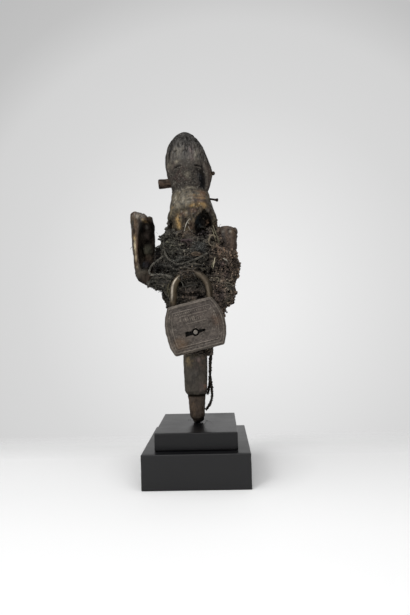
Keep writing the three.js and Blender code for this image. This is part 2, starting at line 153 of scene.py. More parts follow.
def noise(points, size, seed=0, octaves=1):
    """Smooth noise from about -1 to 1, size across, with finer octaves at half the strength each."""
    total, strength = np.zeros(len(points)), 1.0
    for octave in range(octaves):
        at = points * (2.0 ** octave / np.array(size, dtype=float))
        cell = np.floor(at).astype(np.int64)
        part = at - cell
        ease = part * part * (3 - 2 * part)
        for corner in np.ndindex(2, 2, 2):
            weight = np.prod(np.where(corner, ease, 1 - ease), axis=1)
            total += strength * weight * (2 * hashed(cell + corner, seed + 7 * octave) - 1)
        strength /= 2
    return total


def grains(points, size, seed=0):
    """1 on the middle of each rounded grain and 0 in the cracks between grains."""
    at = points / size
    cell = np.floor(at).astype(np.int64)
    nearest, second = np.full(len(points), 9.0), np.full(len(points), 9.0)
    for shift in np.ndindex(3, 3, 3):
        beside = cell + np.array(shift) - 1
        heart = beside + np.stack([hashed(beside, seed + k) for k in range(3)], axis=1)
        far = np.linalg.norm(at - heart, axis=1)
        second = np.minimum(second, np.maximum(nearest, far))
        nearest = np.minimum(nearest, far)
    return np.clip(1.7 * (second - nearest), 0, 1)


def patchy(points, size, seed, low, high):
    """Patches of noise: 0 where it is below low and 1 where it is above high."""
    return rise(noise(points, size, seed, 2), low, high)


def wrinkles(points, size, width, seed):
    """1 on thin lines that wander, like the cracks of an old patina, and 0 between them."""
    return band(noise(points, size, seed, 2), 0, width)


# Colours: given as a screen shows them, 0 to 255, and kept as linear light

def tone(red, green, blue):
    seen = np.array([red, green, blue]) / 255
    return np.where(seen < 0.04045, seen / 12.92, ((seen + 0.055) / 1.055) ** 2.4)


def over(paint, colour, share):
    """Lays a colour over the paint, by a share for each point."""
    share = np.clip(share, 0, 1)[:, None]
    return paint * (1 - share) + colour * share


def swung(colour, swing):
    """The light of a screen colour, raised and lowered by a swing for each point."""
    return tone(*colour) * (1 + swing)[:, None]


def plain(colour, points):
    return swung(colour, np.zeros(len(points)))


def layered(paint, *layers):
    """Lays colours over the paint in turn, each a screen colour or light with its share for each point."""
    for colour, share in layers:
        paint = over(paint, tone(*colour) if isinstance(colour, tuple) else colour, share)
    return paint


def spotted(paint, points, spots, swing=1.0, colour=None):
    """Lays spots over the paint, each a centre, a size, a colour unless one is given, and a share."""
    for centre, size, *own, share in spots:
        paint = over(paint, tone(*(own[0] if own else colour)), share * near(points, centre, size) * swing)
    return paint


# Shapes

def joined(shapes):
    """Several shapes as one."""
    starts = np.cumsum([0] + [len(points) for points, _ in shapes[:-1]])
    faces = [faces + start for (_, faces), start in zip(shapes, starts)]
    return np.concatenate([points for points, _ in shapes]), np.concatenate(faces)


def normals_of(shape):
    points, faces = shape
    a, b, c = (points[faces[:, k]] for k in range(3))
    across = np.cross(b - a, c - a)
    total = np.zeros_like(points)
    for k in range(3):
        np.add.at(total, faces[:, k], across)
    return unit(total)


def arrays(mesh):
    mesh.calc_loop_triangles()
    points = np.empty(len(mesh.vertices) * 3)
    faces = np.empty(len(mesh.loop_triangles) * 3, dtype=np.int32)
    mesh.vertices.foreach_get("co", points)
    mesh.loop_triangles.foreach_get("vertices", faces)
    return points.reshape(-1, 3), faces.reshape(-1, 3)


def node_shape(name):
    points, faces = arrays(frame["nodes"][name].data)
    return points / MM, faces


def held(name, shape):
    """A shape as a scene object, for the modifiers."""
    mesh = bpy.data.meshes.new(name)
    mesh.from_pydata(shape[0].tolist(), [], shape[1].tolist())
    holder = bpy.data.objects.new(name, mesh)
    bpy.context.collection.objects.link(holder)
    return holder


def fused(shapes, voxel, rounds, cuts=()):
    """One even skin round closed shapes that may overlap, less the cuts, then eased a number of rounds."""
    holder = held("fusing", joined(shapes))
    cutters = [held("cutting", cut) for cut in cuts]
    for cutter in cutters:
        bite = holder.modifiers.new("bite", "BOOLEAN")
        bite.operation = "DIFFERENCE"
        bite.object = cutter
    skin = holder.modifiers.new("skin", "REMESH")
    skin.mode = "VOXEL"
    skin.voxel_size = voxel
    ease = holder.modifiers.new("ease", "SMOOTH")
    ease.factor = 0.5
    ease.iterations = rounds
    made = bpy.data.meshes.new_from_object(holder.evaluated_get(bpy.context.evaluated_depsgraph_get()))
    result = arrays(made)
    bpy.data.meshes.remove(made)
    for used in (holder, *cutters):
        mesh = used.data
        bpy.data.objects.remove(used)
        bpy.data.meshes.remove(mesh)
    return result


def prism(outline, front, back):
    """A block between two values of y. Its outline in x and z runs counterclockwise, as seen in front."""
    count = len(outline)
    x, z = np.mean(outline, axis=0)
    rims = [(x, y, z) for y in (front, back) for x, z in outline]
    points = np.array([*rims, (x, front, z), (x, back, z)], dtype=float)
    faces = []
    for i in range(count):
        j = (i + 1) % count
        faces += [(i, j, 2 * count), (count + j, count + i, 2 * count + 1)]
        faces += [(j, i, count + i), (j, count + i, count + j)]
    return points, np.array(faces, dtype=np.int32)


def taken_from(work):
    """The points and triangles of a work mesh, which is then let go."""
    work.verts.index_update()
    points = np.array([vertex.co[:] for vertex in work.verts])
    faces = np.array([[vertex.index for vertex in face.verts] for face in work.faces], dtype=np.int32)
    work.free()
    return points, faces


def ball(detail):
    """A round ball of radius 1, of 20 faces at detail 1 and 80 at detail 2."""
    work = bmesh.new()
    bmesh.ops.create_icosphere(work, subdivisions=detail, radius=1)
    return taken_from(work)


def blob(centre, size, detail=3):
    points, faces = ball(detail)
    return points * size + centre, faces


def pebbles(places, sizes, detail, rng):
    """A small rough lump at each place, each stretched and turned its own way."""
    base, faces = ball(detail)
    count = len(places)
    axes = unit(rng.normal(size=(count, 2, 3)))
    first = axes[:, 0]
    second = unit(np.cross(first, axes[:, 1]))
    turns = np.stack([first, second, np.cross(first, second)], axis=1)
    rough = base * rng.uniform(0.78, 1.2, (count, len(base), 1)) * rng.uniform(0.6, 1.25, (count, 1, 3))
    points = (rough @ turns) * np.reshape(sizes, (-1, 1, 1)) + places[:, None, :]
    starts = np.arange(count)[:, None, None] * len(base)
    return points.reshape(-1, 3), (faces[None] + starts).reshape(-1, 3)


def scattered(shape, count, rng, weight):
    """Places spread over a shape's surface, as thickly as the weight says, with the normal at each."""
    points, faces = shape
    a, b, c = (points[faces[:, k]] for k in range(3))
    across = np.cross(b - a, c - a)
    area = np.linalg.norm(across, axis=1) * weight((a + b + c) / 3)
    chosen = rng.choice(len(faces), count, p=area / area.sum())
    u, v = rng.random((2, count, 1))
    u, v = np.where(u + v > 1, 1 - u, u), np.where(u + v > 1, 1 - v, v)
    places = a[chosen] + u * (b - a)[chosen] + v * (c - a)[chosen]
    return places, unit(across[chosen])


# Lines and what follows them

def along(line):
    return np.concatenate([[0], np.cumsum(np.linalg.norm(np.diff(line, axis=0), axis=1))])


def evenly(line, step):
    """The line again, with its points about step apart."""
    at = along(line)
    count = max(3, round(at[-1] / step) + 1)
    new = np.linspace(0, at[-1], count)
    return np.stack([np.interp(new, at, line[:, k]) for k in range(3)], axis=1)


def smooth_line(route, step):
    """A smooth line through every point of a route."""
    route = np.array(route, dtype=float)
    ends = np.concatenate([[2 * route[0] - route[1]], route, [2 * route[-1] - route[-2]]])
    t = np.linspace(0, 1, 12, endpoint=False)[:, None]
    stretches = []
    for a, b, c, d in zip(ends, ends[1:], ends[2:], ends[3:]):
        square, cube = 2 * a - 5 * b + 4 * c - d, 3 * b - a - 3 * c + d
        stretches.append((2 * b + (c - a) * t + square * t ** 2 + cube * t ** 3) / 2)
    return evenly(np.concatenate(stretches + [route[-1:]]), step)


def sideways(line):
    """Two directions across a line at each of its points, that turn no more than the line does."""
    ahead = unit(np.gradient(line, axis=0))
    first = np.empty_like(line)
    start = np.cross(ahead[0], (0.3, 0.9, 0.31))
    first[0] = start / np.linalg.norm(start)
    for i in range(1, len(line)):
        turned = first[i - 1] - ahead[i] * (first[i - 1] @ ahead[i])
        first[i] = turned / math.sqrt(turned @ turned)
    return first, np.cross(ahead, first)


def tube(line, radius, sides=8, oval=1.0, pitch=None):
    """A tube with closed ends. Its section may be oval, and turn once in each pitch like twisted string."""
    first, second = sideways(line)
    turn = np.zeros(len(line)) if pitch is None else along(line) * 2 * math.pi / pitch
    around = np.arange(sides) * 2 * math.pi / sides
    wide, deep = np.cos(around)[None], oval * np.sin(around)[None]
    cos, sin = np.cos(turn)[:, None], np.sin(turn)[:, None]
    a, b = wide * cos - deep * sin, wide * sin + deep * cos
    size = np.broadcast_to(radius, len(line))[:, None, None]
    rings = line[:, None] + size * (a[..., None] * first[:, None] + b[..., None] * second[:, None])
    points = np.concatenate([rings.reshape(-1, 3), line[:1], line[-1:]])
    ring = np.arange(len(line) - 1)[:, None] * sides
    here = np.arange(sides)
    beside = (here + 1) % sides
    p, q, r, s = ring + here, ring + beside, ring + sides + beside, ring + sides + here
    walls = [np.stack(corners, -1).reshape(-1, 3) for corners in ((p, q, r), (p, r, s))]
    last = (len(line) - 1) * sides
    foot = np.stack([beside, here, np.full(sides, len(points) - 2)], -1)
    head = np.stack([last + here, last + beside, np.full(sides, len(points) - 1)], -1)
    return points, np.concatenate([*walls, foot, head]).astype(np.int32)


def twine(line, diameter, sides=6, pitch=4.2, swell=0.0, seed=0):
    """Two strands twisted round each other along a line."""
    first, second = sideways(line)
    turn = along(line) * 2 * math.pi / pitch
    thick = diameter / 2 * (1 + swell * noise(line, 3.5, seed, 2))
    made = []
    for angle in (turn, turn + math.pi):
        off = np.cos(angle)[:, None] * first + np.sin(angle)[:, None] * second
        made.append(tube(line + off * (thick * 0.5)[:, None], thick * 0.54, sides))
    return joined(made)


def tapered(count, thick):
    """Radii that narrow towards both ends."""
    return thick * (0.3 + 0.7 * np.sin(np.linspace(0, math.pi, count)) ** 0.5)


def wisp(start, way, length, thick, rng):
    """A fine fibre that wanders as it goes."""
    curl, droop = 0.9, 0.2
    steps = max(4, round(length / 0.9))
    line, heading = [np.array(start, dtype=float)], unit(np.array(way, dtype=float))
    bend = rng.normal(size=3) * curl / steps
    for _ in range(steps):
        stray = rng.normal(size=3) * curl * 0.25
        heading = unit(heading + bend + stray - np.array([0, 0, droop / steps]))
        line.append(line[-1] + heading * length / steps)
    return tube(np.array(line), tapered(steps + 1, thick), 3)


# Materials

class Nodes:
    """A node tree in the making. A value is a number, a colour or another node's output."""

    def __init__(self, tree):
        self.tree = tree

    def send(self, value, socket):
        if isinstance(value, bpy.types.NodeSocket):
            self.tree.links.new(value, socket)
        else:
            socket.default_value = value

    def add(self, kind, inputs=None, **settings):
        made = self.tree.nodes.new("ShaderNode" + kind)
        for name, value in settings.items():
            setattr(made, name, value)
        for name, value in (inputs or {}).items():
            self.send(value, made.inputs[name])
        return made

    def blend(self, share, first, second, mode="MIX"):
        inputs = {0: share, 6: first, 7: second}
        return self.add("Mix", inputs, data_type="RGBA", blend_type=mode).outputs[2]

    def ramp(self, value, low, high, to_low, to_high):
        """Maps a value from one range to another, held at its ends."""
        limits = {"Value": value, "From Min": low, "From Max": high, "To Min": to_low, "To Max": to_high}
        return self.add("MapRange", limits).outputs[0]

    def swing(self, value, at_low, at_high):
        """Maps the range that most of a noise keeps to."""
        return self.ramp(value, 0.3, 0.7, at_low, at_high)

    def times(self, a, b):
        return self.add("Math", {0: a, 1: b}, operation="MULTIPLY").outputs[0]

    def plus(self, a, b):
        return self.add("Math", {0: a, 1: b}, operation="ADD").outputs[0]

    def grey(self, light):
        return self.add("CombineColor", {"Red": light, "Green": light, "Blue": light}).outputs[0]

    def coloured(self, value, stops):
        """The colour of a value from 0 to 1, between stops that are each a place and a colour."""
        made = self.add("ValToRGB", {"Fac": value})
        elements = made.color_ramp.elements
        while len(elements) < len(stops):
            elements.new(0.5)
        for element, (at, colour) in zip(elements, sorted(stops)):
            element.position = at
            element.color = (*colour, 1)
        return made.outputs["Color"]


class Look(Nodes):
    """A material in the making, with its textures laid in the object's own space."""

    def __init__(self, name, gloss=0.3):
        self.material = bpy.data.materials.new(name)
        self.material.use_nodes = True
        super().__init__(self.material.node_tree)
        self.place = self.add("TexCoord").outputs["Object"]
        self.shader = self.tree.nodes["Principled BSDF"]
        self.give("Specular IOR Level", gloss)

    def give(self, name, value):
        self.send(value, self.shader.inputs[name])

    def paint(self):
        return self.add("Attribute", attribute_name="paint").outputs["Color"]

    def polish(self):
        return self.add("Attribute", attribute_name="polish").outputs["Fac"]

    def noise(self, size, detail=3, rough=0.55, x=1, z=1):
        """Noise with features about size millimetres across, drawn out where x or z is below 1."""
        place = self.place
        if (x, z) != (1, 1):
            place = self.add("Mapping", {"Vector": place, "Scale": (x, 1, z)}).outputs[0]
        inputs = {"Vector": place, "Scale": 1 / (size * MM), "Detail": detail, "Roughness": rough}
        return self.add("TexNoise", inputs).outputs["Fac"]

    def pits(self, size):
        inputs = {"Vector": self.place, "Scale": 1 / (size * MM), "Randomness": 1}
        return self.add("TexVoronoi", inputs).outputs["Distance"]

    def shaded(self, paint, *swings):
        """The paint, darkened and lightened by noises, each with the factors at its low and its high."""
        for value, low, high in swings:
            paint = self.blend(1, paint, self.grey(self.swing(value, low, high)), "MULTIPLY")
        return paint

    def dulled(self, gloss):
        """Dirt in the dark hollows takes the shine away."""
        light = self.add("RGBToBW", {"Color": self.paint()}).outputs[0]
        self.give("Specular IOR Level", self.ramp(light, 0.004, 0.03, 0.04, gloss))

    def relief(self, height, depth):
        """Sends a height from 0 to 1 to the shader as relief so many millimetres deep."""
        bump = self.add("Bump", {"Height": height, "Distance": depth * MM, "Strength": 1})
        self.give("Normal", bump.outputs[0])


def opaque(red, green, blue):
    return [*tone(red, green, blue), 1]


def wood_material(name, rough, smooth, grain_depth):
    """Grained wood: fibres along z, small pores, dark mottling, and a dull polish where it was handled."""
    look = Look(name, 0.32)
    fibre = look.noise(0.55, 4, z=0.09)
    pore = look.noise(0.9, 2, 0.7, z=0.3)
    mottle = look.noise(2.6, 3, 0.65, z=0.6)
    grit = look.noise(0.5, 3, 0.7)
    swings = (fibre, 0.66, 1.34), (mottle, 0.7, 1.3), (grit, 0.78, 1.22)
    look.give("Base Color", look.shaded(look.paint(), *swings))
    look.dulled(0.36)
    handled = look.ramp(look.polish(), 0, 1, rough, smooth)
    look.give("Roughness", look.plus(handled, look.swing(grit, -0.1, 0.1)))
    look.relief(look.plus(look.times(fibre, 0.6), look.times(pore, 0.4)), grain_depth)
    return look.material


def crust_material(name):
    """Dried crust: coarse grains with pale mineral specks, matt where it is dusty and glossy elsewhere."""
    look = Look(name, 0.35)
    grit = look.noise(0.8, 4, 0.7)
    patch = look.noise(5, 2)
    speck = look.ramp(look.pits(1.3), 0.1, 0.17, 1, 0)
    colour = look.shaded(look.paint(), (grit, 0.45, 1.55), (patch, 0.7, 1.35))
    look.give("Base Color", look.blend(look.times(speck, 0.4), colour, opaque(160, 148, 122)))
    look.dulled(0.45)
    dusty = look.ramp(patch, 0.4, 0.6, -0.12, 0.1)
    look.give("Roughness", look.plus(dusty, look.swing(grit, 0.9, 0.5)))
    look.relief(look.plus(grit, look.times(look.pits(1.6), 0.6)), 0.55)
    return look.material


def string_material(name):
    """Twisted plant string: fine fibres, matted with dirt and flecked with dried crust."""
    look = Look(name, 0.4)
    fibre = look.noise(0.4, 3, 0.65, z=0.35)
    dirt = look.noise(2.4, 4, 0.65)
    colour = look.shaded(look.paint(), (fibre, 0.55, 1.45))
    look.give("Base Color", look.blend(look.ramp(dirt, 0.46, 0.62, 0, 0.8), colour, opaque(32, 29, 26)))
    look.dulled(0.4)
    look.give("Roughness", look.swing(fibre, 0.9, 0.6))
    look.relief(look.plus(fibre, look.times(dirt, 0.5)), 0.3)
    return look.material


def steel_material():
    """The padlock's worn brown steel: pitted, dull, with rust blooms in the painted places."""
    look = Look("worn_steel")
    cloud = look.noise(5, 4, 0.65)
    pitting = look.noise(0.8, 3, 0.75)
    pock = look.ramp(look.pits(1.9), 0.08, 0.2, 1, 0)
    colour = look.shaded(look.paint(), (cloud, 0.8, 1.2), (pitting, 0.66, 1.3))
    look.give("Base Color", look.blend(look.times(pock, 0.45), colour, opaque(48, 42, 39)))
    look.give("Metallic", 0.45)
    worn = look.ramp(look.polish(), 0, 1, 0.66, 0.4)
    look.give("Roughness", look.plus(worn, look.swing(pitting, 0.12, -0.08)))
    look.relief(look.plus(pitting, look.times(pock, -0.8)), 0.16)
    return look.material


def bronze_material():
    """The shackle's rubbed bronze, dark where dirt sits."""
    look = Look("rubbed_bronze")
    dirt = look.noise(4, 4, 0.65)
    scuff = look.noise(0.6, 3, 0.6, z=0.25)
    colour = look.blend(look.ramp(dirt, 0.5, 0.7, 0, 0.75), look.paint(), opaque(70, 58, 42))
    look.give("Base Color", look.shaded(colour, (scuff, 0.8, 1.2)))
    look.give("Metallic", 0.45)
    rough = look.ramp(dirt, 0.45, 0.7, 0.36, 0.7)
    look.give("Roughness", look.plus(rough, look.swing(scuff, -0.05, 0.08)))
    look.relief(scuff, 0.08)
    return look.material


def lacquer_material(name, gloss):
    """Satin black lacquer over wood, with a faint grain and a little dust."""
    look = Look(name, gloss)
    grain = look.noise(1.1, 4, 0.6, x=0.06)
    dust = look.noise(0.7, 2, 0.8)
    cloud = look.noise(30)
    colour = look.blend(look.ramp(cloud, 0.35, 0.65, 0, 0.5), opaque(5, 5, 7), opaque(11, 11, 13))
    look.give("Base Color", look.blend(look.ramp(dust, 0.7, 0.8, 0, 0.12), colour, opaque(90, 88, 84)))
    rough = look.swing(cloud, 0.3, 0.38)
    look.give("Roughness", look.plus(rough, look.ramp(grain, 0.35, 0.65, -0.02, 0.03)))
    look.relief(grain, 0.02)
    return look.material


def fibre_material():
    """Dry fibres and quills, slightly glossy."""
    look = Look("dry_fibre")
    streak = look.noise(0.8, 2)
    look.give("Base Color", look.shaded(look.paint(), (streak, 0.75, 1.2)))
    look.give("Roughness", look.swing(streak, 0.45, 0.65))
    return look.material


# Pieces

LIT = 0.57  # the paints are read from lit surfaces, and this takes the light out of them
LOG_VOXEL, BILLET_VOXEL, CRUST_VOXEL, CASE_VOXEL = 0.76, 0.68, 0.85, 0.47  # how fine each skin is


def piece(name, shape, material, nodes=(), paint=None, polish=None):
    """Makes a visible piece that rides on the root body, with its material, paint and polish."""
    points, faces = shape
    mesh = bpy.data.meshes.new(name)
    mesh.from_pydata((points * MM).tolist(), [], faces.tolist())
    mesh.shade_smooth()
    mesh.materials.append(material)
    if paint is not None:
        colours = np.ones((len(points), 4), dtype=np.float32)
        colours[:, :3] = np.clip(paint * LIT, 0.002, 1)
        mesh.attributes.new("paint", "FLOAT_COLOR", "POINT").data.foreach_set("color", colours.ravel())
    if polish is not None:
        values = polish.astype(np.float32)
        mesh.attributes.new("polish", "FLOAT", "POINT").data.foreach_set("value", values)
    made = bpy.data.objects.new(name, mesh)
    bpy.context.collection.objects.link(made)
    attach(made, "root")
    if nodes:
        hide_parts(*nodes)
    return made


def turn_round_log(points):
    """Each point's turn round the log's axis, 0 in front and positive to the right."""
    across = points[:, 0] - np.interp(points[:, 2], LOG_AXIS[:, 0], LOG_AXIS[:, 1])
    back = points[:, 1] - np.interp(points[:, 2], LOG_AXIS[:, 0], LOG_AXIS[:, 2])
    return np.arctan2(across, -back)


# Carved log

EYES = (((-12.4, 305.4), 0.14), ((7.6, 305.8), -0.08))  # middle in x and z, tilt
OCHRE = (  # where it lies on the log: centre, size, share
    ((2.4, -23.6, 265.2), (3.2, 6, 1.1), 1.2), ((8, -21.4, 267), (4, 6, 1.3), 1.1),
    ((-14.2, -20.4, 252.4), (2, 7, 4.4), 1.3), ((-12.6, -20.2, 247), (1.5, 7, 2.8), 1.2),
    ((12.5, -20.2, 265.5), (2.2, 5, 2.4), 0.4), ((6, -20, 277.5), (5, 6, 1.2), 0.35),
    ((10, -18, 273.6), (4, 6, 1.2), 0.4), ((-19, -16, 265), (1.4, 5, 1.6), 0.4),
    ((21.3, -6, 301), (1.3, 6, 4), 0.2), ((-6, -23, 240), (4, 5, 2.4), 0.5),
)
# Pale places: painted highlights on the crown, by the left brow and on the dome, and pale streaks elsewhere
# on the chest and neck.
PALE_STREAKS_AND_HIGHLIGHTS = (  # centre, size, share
    ((-12, -21.7, 320), (4.4, 9, 9), 0.24), ((-13.4, -21.7, 310.2), (1.8, 8, 1.4), 0.7),
    ((-20, -15, 307), (1.6, 8, 4), 0.35), ((5.5, -21, 320), (2.8, 9, 5), 0.24),
    ((6.4, -22.8, 315), (3.4, 8, 4), 0.3), ((-3, -22, 297), (3, 8, 3), 0.3),
    ((-16.3, -15, 274), (2, 8, 5.5), 0.8), ((-8, -21, 272), (1.4, 8, 6), 0.6),
    ((-3, -22, 271), (2, 8, 6.5), 0.45), ((-13.6, -20, 266), (2.2, 6, 3), 0.6),
    ((0.5, -22, 274), (1.2, 8, 5), 0.5), ((-22.5, -13.4, 309.7), (1, 6, 4), 0.4),
    ((-12, -14, 283.6), (5, 8, 1), 0.6), ((-2, -17, 285), (7, 8, 1), 0.7),
    ((-9.8, -23, 260.5), (0.9, 5, 0.9), 0.9), ((-5, -23, 258.8), (1.4, 5, 1), 0.7),
)
# Rosy painted highlights on the crown.
ROSY_HIGHLIGHTS = (((1.2, -22, 320), (2.6, 8, 5), 0.5), ((1.6, -22, 312), (3, 8, 2), 0.35))
EARTH = (  # centre, size, share
    ((-9, -23.3, 257.5), (3.4, 5, 2.4), 0.5), ((2, -23, 261), (4, 5, 2.4), 0.4),
    ((9.5, -20, 271), (5, 6, 5), 0.4), ((12, -17, 279), (4, 6, 4), 0.45), ((-1, -24, 246), (3, 5, 4), 0.3),
)
SHAFT_MARKS = (  # centre, size, colour, share
    ((-7.9, -10.7, 113), (2.6, 5, 5), (154, 134, 100), 0.7),
    ((-3.5, -11, 110), (1.6, 5, 4), (146, 126, 94), 0.5),
    ((3.7, -11.2, 114), (3, 5, 2.4), (150, 132, 126), 0.7), ((2, -11.2, 108), (4, 5, 5), (98, 76, 74), 0.5),
    ((-1.7, -11.4, 119), (9, 6, 2.4), (58, 50, 28), 0.9),
    ((9.6, -8.8, 86.5), (2.2, 5, 3), (140, 104, 84), 0.7),
    ((9.9, -8.1, 82), (1.6, 4, 1.8), (44, 24, 20), 0.9), ((5, -10, 85), (3, 5, 5), (92, 74, 74), 0.4),
    # Those on the stake below z 70 are painted light and shade: lighter on its left, darker on its right
    # and at its foot.
    ((-8.5, -5, 68), (2.6, 6, 7), (140, 108, 76), 0.5), ((3, -6, 56), (4, 6, 5), (30, 28, 24), 0.8),
    ((0, -6, 52), (8, 8, 3), (26, 24, 21), 0.9), ((6.5, -4, 66), (2, 6, 8), (44, 38, 32), 0.5),
    ((-3.4, -6, 65), (2.2, 6, 8), (140, 118, 94), 0.55), ((5.6, -5, 60), (2.4, 6, 6), (28, 24, 21), 0.75),
    ((6, -9, 112), (3, 5, 8), (112, 92, 72), 0.5), ((-1, -11, 100), (7, 6, 6), (96, 90, 82), 0.4),
)
CRACKS = (  # the drying cracks: turn round the log, lower end, upper end
    (2.6, 296, 340), (-2.7, 250, 282), (1.9, 244, 276),
    (-0.75, 318, 344), (0.2, 322, 345), (-1.5, 300, 336),
)
HAIR_CRACKS = (3, 3, 44)
CHEST_CRACKS = (2.4, 2.4, 7)


def slit(points, centre, tilt):
    """How near each point is to a closed eye's line, from -1 in its groove to 1 on its lids."""
    x, z = points[:, 0] - centre[0], points[:, 2] - centre[1]
    u = math.cos(tilt) * x + math.sin(tilt) * z
    v = math.cos(tilt) * z - math.sin(tilt) * x + 0.035 * u * u
    seen = rise(4.6 - abs(u), 0, 1.6) * rise(-points[:, 1], 8, 12)
    return seen * (0.8 * band(abs(v), 1.5, 0.7) - band(v, 0, 0.65))


def cheek_edge(z):
    """The turn round the axis at which the strip by the right cheek stands, at each height."""
    return 0.735 + (309.9 - z) / 25.2 * 0.405


def head_relief(points, side):
    """Combed grooves over the crown, closed eyes, a crusted face, and the split strip by a cheek."""
    z = points[:, 2]
    hairline = 308.5 - 20 * rise(abs(side), 0.8, 1.9) + 2.4 * noise(points, 6, 17)
    combed = rise(z, hairline - 3, hairline + 9) * (1 - rise(z, 341, 346))
    strand = abs(np.sin(side * 12 + 1.6 * noise(points, (9, 9, 20), 3)))
    relief = combed * (0.5 * strand ** 0.7 - 0.35 - 0.8 * wrinkles(points, HAIR_CRACKS, 0.2, 31))
    face = rise(z, 284, 287) * (1 - rise(z, hairline - 9, hairline + 8)) * (1 - rise(abs(side), 0.5, 1.9))
    relief += face * (0.9 * grains(points, 2.3, 4) - 0.4 + 0.4 * noise(points, 1.8, 5, 2))
    relief += sum(slit(points, centre, tilt) for centre, tilt in EYES)
    strip = side - cheek_edge(z)
    split = rise(z, 283, 287) * (1 - rise(z, 304, 312))
    relief += split * (1.1 * band(strip, 0, 0.08) - 1.2 * band(strip, -0.3, 0.17))
    for ear in (-1.2, 1.35):
        far = np.hypot((side - ear) * 21, (z - 304.5) / 1.5)
        relief += 0.9 * band(far, 3.2, 0.9) - 0.6 * band(far, 0, 2)
    return relief


def crack(points, side, at, low, high):
    """A drying crack that runs up the wood at one side, wandering a little."""
    way = at + 0.05 * noise(points * (0, 0, 1), 11, 31, 2)
    open_there = rise(points[:, 2], low, low + 8) * (1 - rise(points[:, 2], high - 8, high))
    return -1.1 * open_there * band(side, way, 0.05)


def dome_edge(x):
    """The height of the chest's carved lip at x: it climbs to the right, over the hollow."""
    across = (-24, -20, -14, -8, 2, 8.7, 12.5, 18, 24)
    return np.interp(x, across, (250, 256, 262, 262.5, 265, 268.4, 265.5, 259, 250))


def log_relief(points, side):
    """Knife marks all over, the chest's lip and the fibrous face below it, the cracks and the foot."""
    x, y, z = points.T
    relief = 0.3 * noise(points, (5, 5, 16), 1, 3)
    chest = rise(z, 234, 240) * (1 - rise(z, 281, 285))
    dents, fibre = abs(noise(points, (6, 6, 10), 9, 2)), noise(points, (1.8, 1.8, 6), 12, 2)
    relief += chest * (0.6 * dents + 0.3 * fibre)
    above = z - dome_edge(x) - 1.2 * noise(points, 4, 19, 2)
    lip = 1.7 * rise(above, -0.9, 0.9) * (1 - rise(above, 3, 15)) - 1.2 * rise(-above, 0, 1.6)
    fibrous = 0.8 * grains(points, 2.2, 15) - 0.4 - 0.5 * wrinkles(points, CHEST_CRACKS, 0.14, 43)
    relief += rise(-y, 4, 10) * chest * (lip + rise(-above, 1, 4) * fibrous)
    relief += head_relief(points, side) * rise(z, 282, 286)
    shaft = 1 - rise(z, 120, 130)
    relief += shaft * (0.14 * noise(points, (1.7, 1.7, 26), 11, 2) + 0.4 * noise(points, 4, 16, 2))
    stake = rise(z, 49.5, 51) * (1 - rise(z, 76, 78)) * rise(z, 50, 57)
    relief += stake * (0.9 * rise(x, 1, 6) + 1.3 * rise(-x, 1, 5)) * (1 - 0.5 * rise(z, 60, 76))
    relief += sum(crack(points, side, *where) for where in CRACKS)
    neck = band(z - 1.5 * noise(points, 5, 20), 284.2, 1.7)
    return relief + neck * (1.5 * grains(points, 2.6, 14) - 0.9)


def head_paint(paint, points, side):
    """Dark streaks and flecks in the hair, a mottled face, and the facet and strip by a cheek. Painted
    shade darkens the crown's top, the face's cracks and a line beside the strip; pale dust with painted
    highlight sits on the face's grain tops, and a painted highlight on the strip's edge.
    """
    z = points[:, 2]
    head, hair = rise(z, 284, 288), rise(z, 300, 316)
    face = head * (1 - rise(z, 297, 316)) * (1 - rise(abs(side), 0.5, 1.9))
    spots = grains(points, 2.3, 4)
    strip = side - cheek_edge(z)
    cheek, low = head * (1 - rise(z, 304, 314)), 1 - rise(z, 296, 301)
    facet = cheek * band(strip, -0.32, 0.16)
    return layered(
        paint,
        ((74, 68, 61), 0.7 * hair),
        ((34, 31, 29), 0.7 * hair * patchy(points, (1.3, 1.3, 13), 26, 0.1, 0.6)),
        ((120, 112, 102), 0.6 * hair * patchy(points, (1.5, 1.5, 8), 35, 0.2, 0.8)),
        ((26, 24, 22), 0.85 * hair * wrinkles(points, HAIR_CRACKS, 0.2, 31)),
        # painted shade over the crown's top
        ((40, 38, 34), 0.75 * rise(z, 318, 338)),
        ((86, 80, 72), 0.6 * face),
        ((94, 70, 64), 0.4 * face * patchy(points, 4, 36, 0.1, 0.7)),
        # pale dust and painted highlights on the face's grain tops
        ((150, 144, 134), 0.7 * face * rise(spots, 0.5, 0.95) * patchy(points, 2.8, 24, -0.1, 0.7)),
        # painted shade in the cracks between the face's grains
        ((26, 24, 22), 0.8 * face * (1 - rise(spots, 0, 0.32))),
        ((92, 84, 74), 0.8 * facet * (1 - low)),
        ((44, 50, 60), 0.85 * facet * low),
        # painted shade in the split beside the cheek's strip
        ((20, 18, 17), 0.8 * cheek * band(strip, -0.14, 0.06)),
        # painted highlight along the strip's edge
        ((128, 116, 104), 0.7 * cheek * band(strip, 0.02, 0.09)),
        ((88, 66, 56), 0.6 * cheek * band(strip, 0.26, 0.12)),
    )


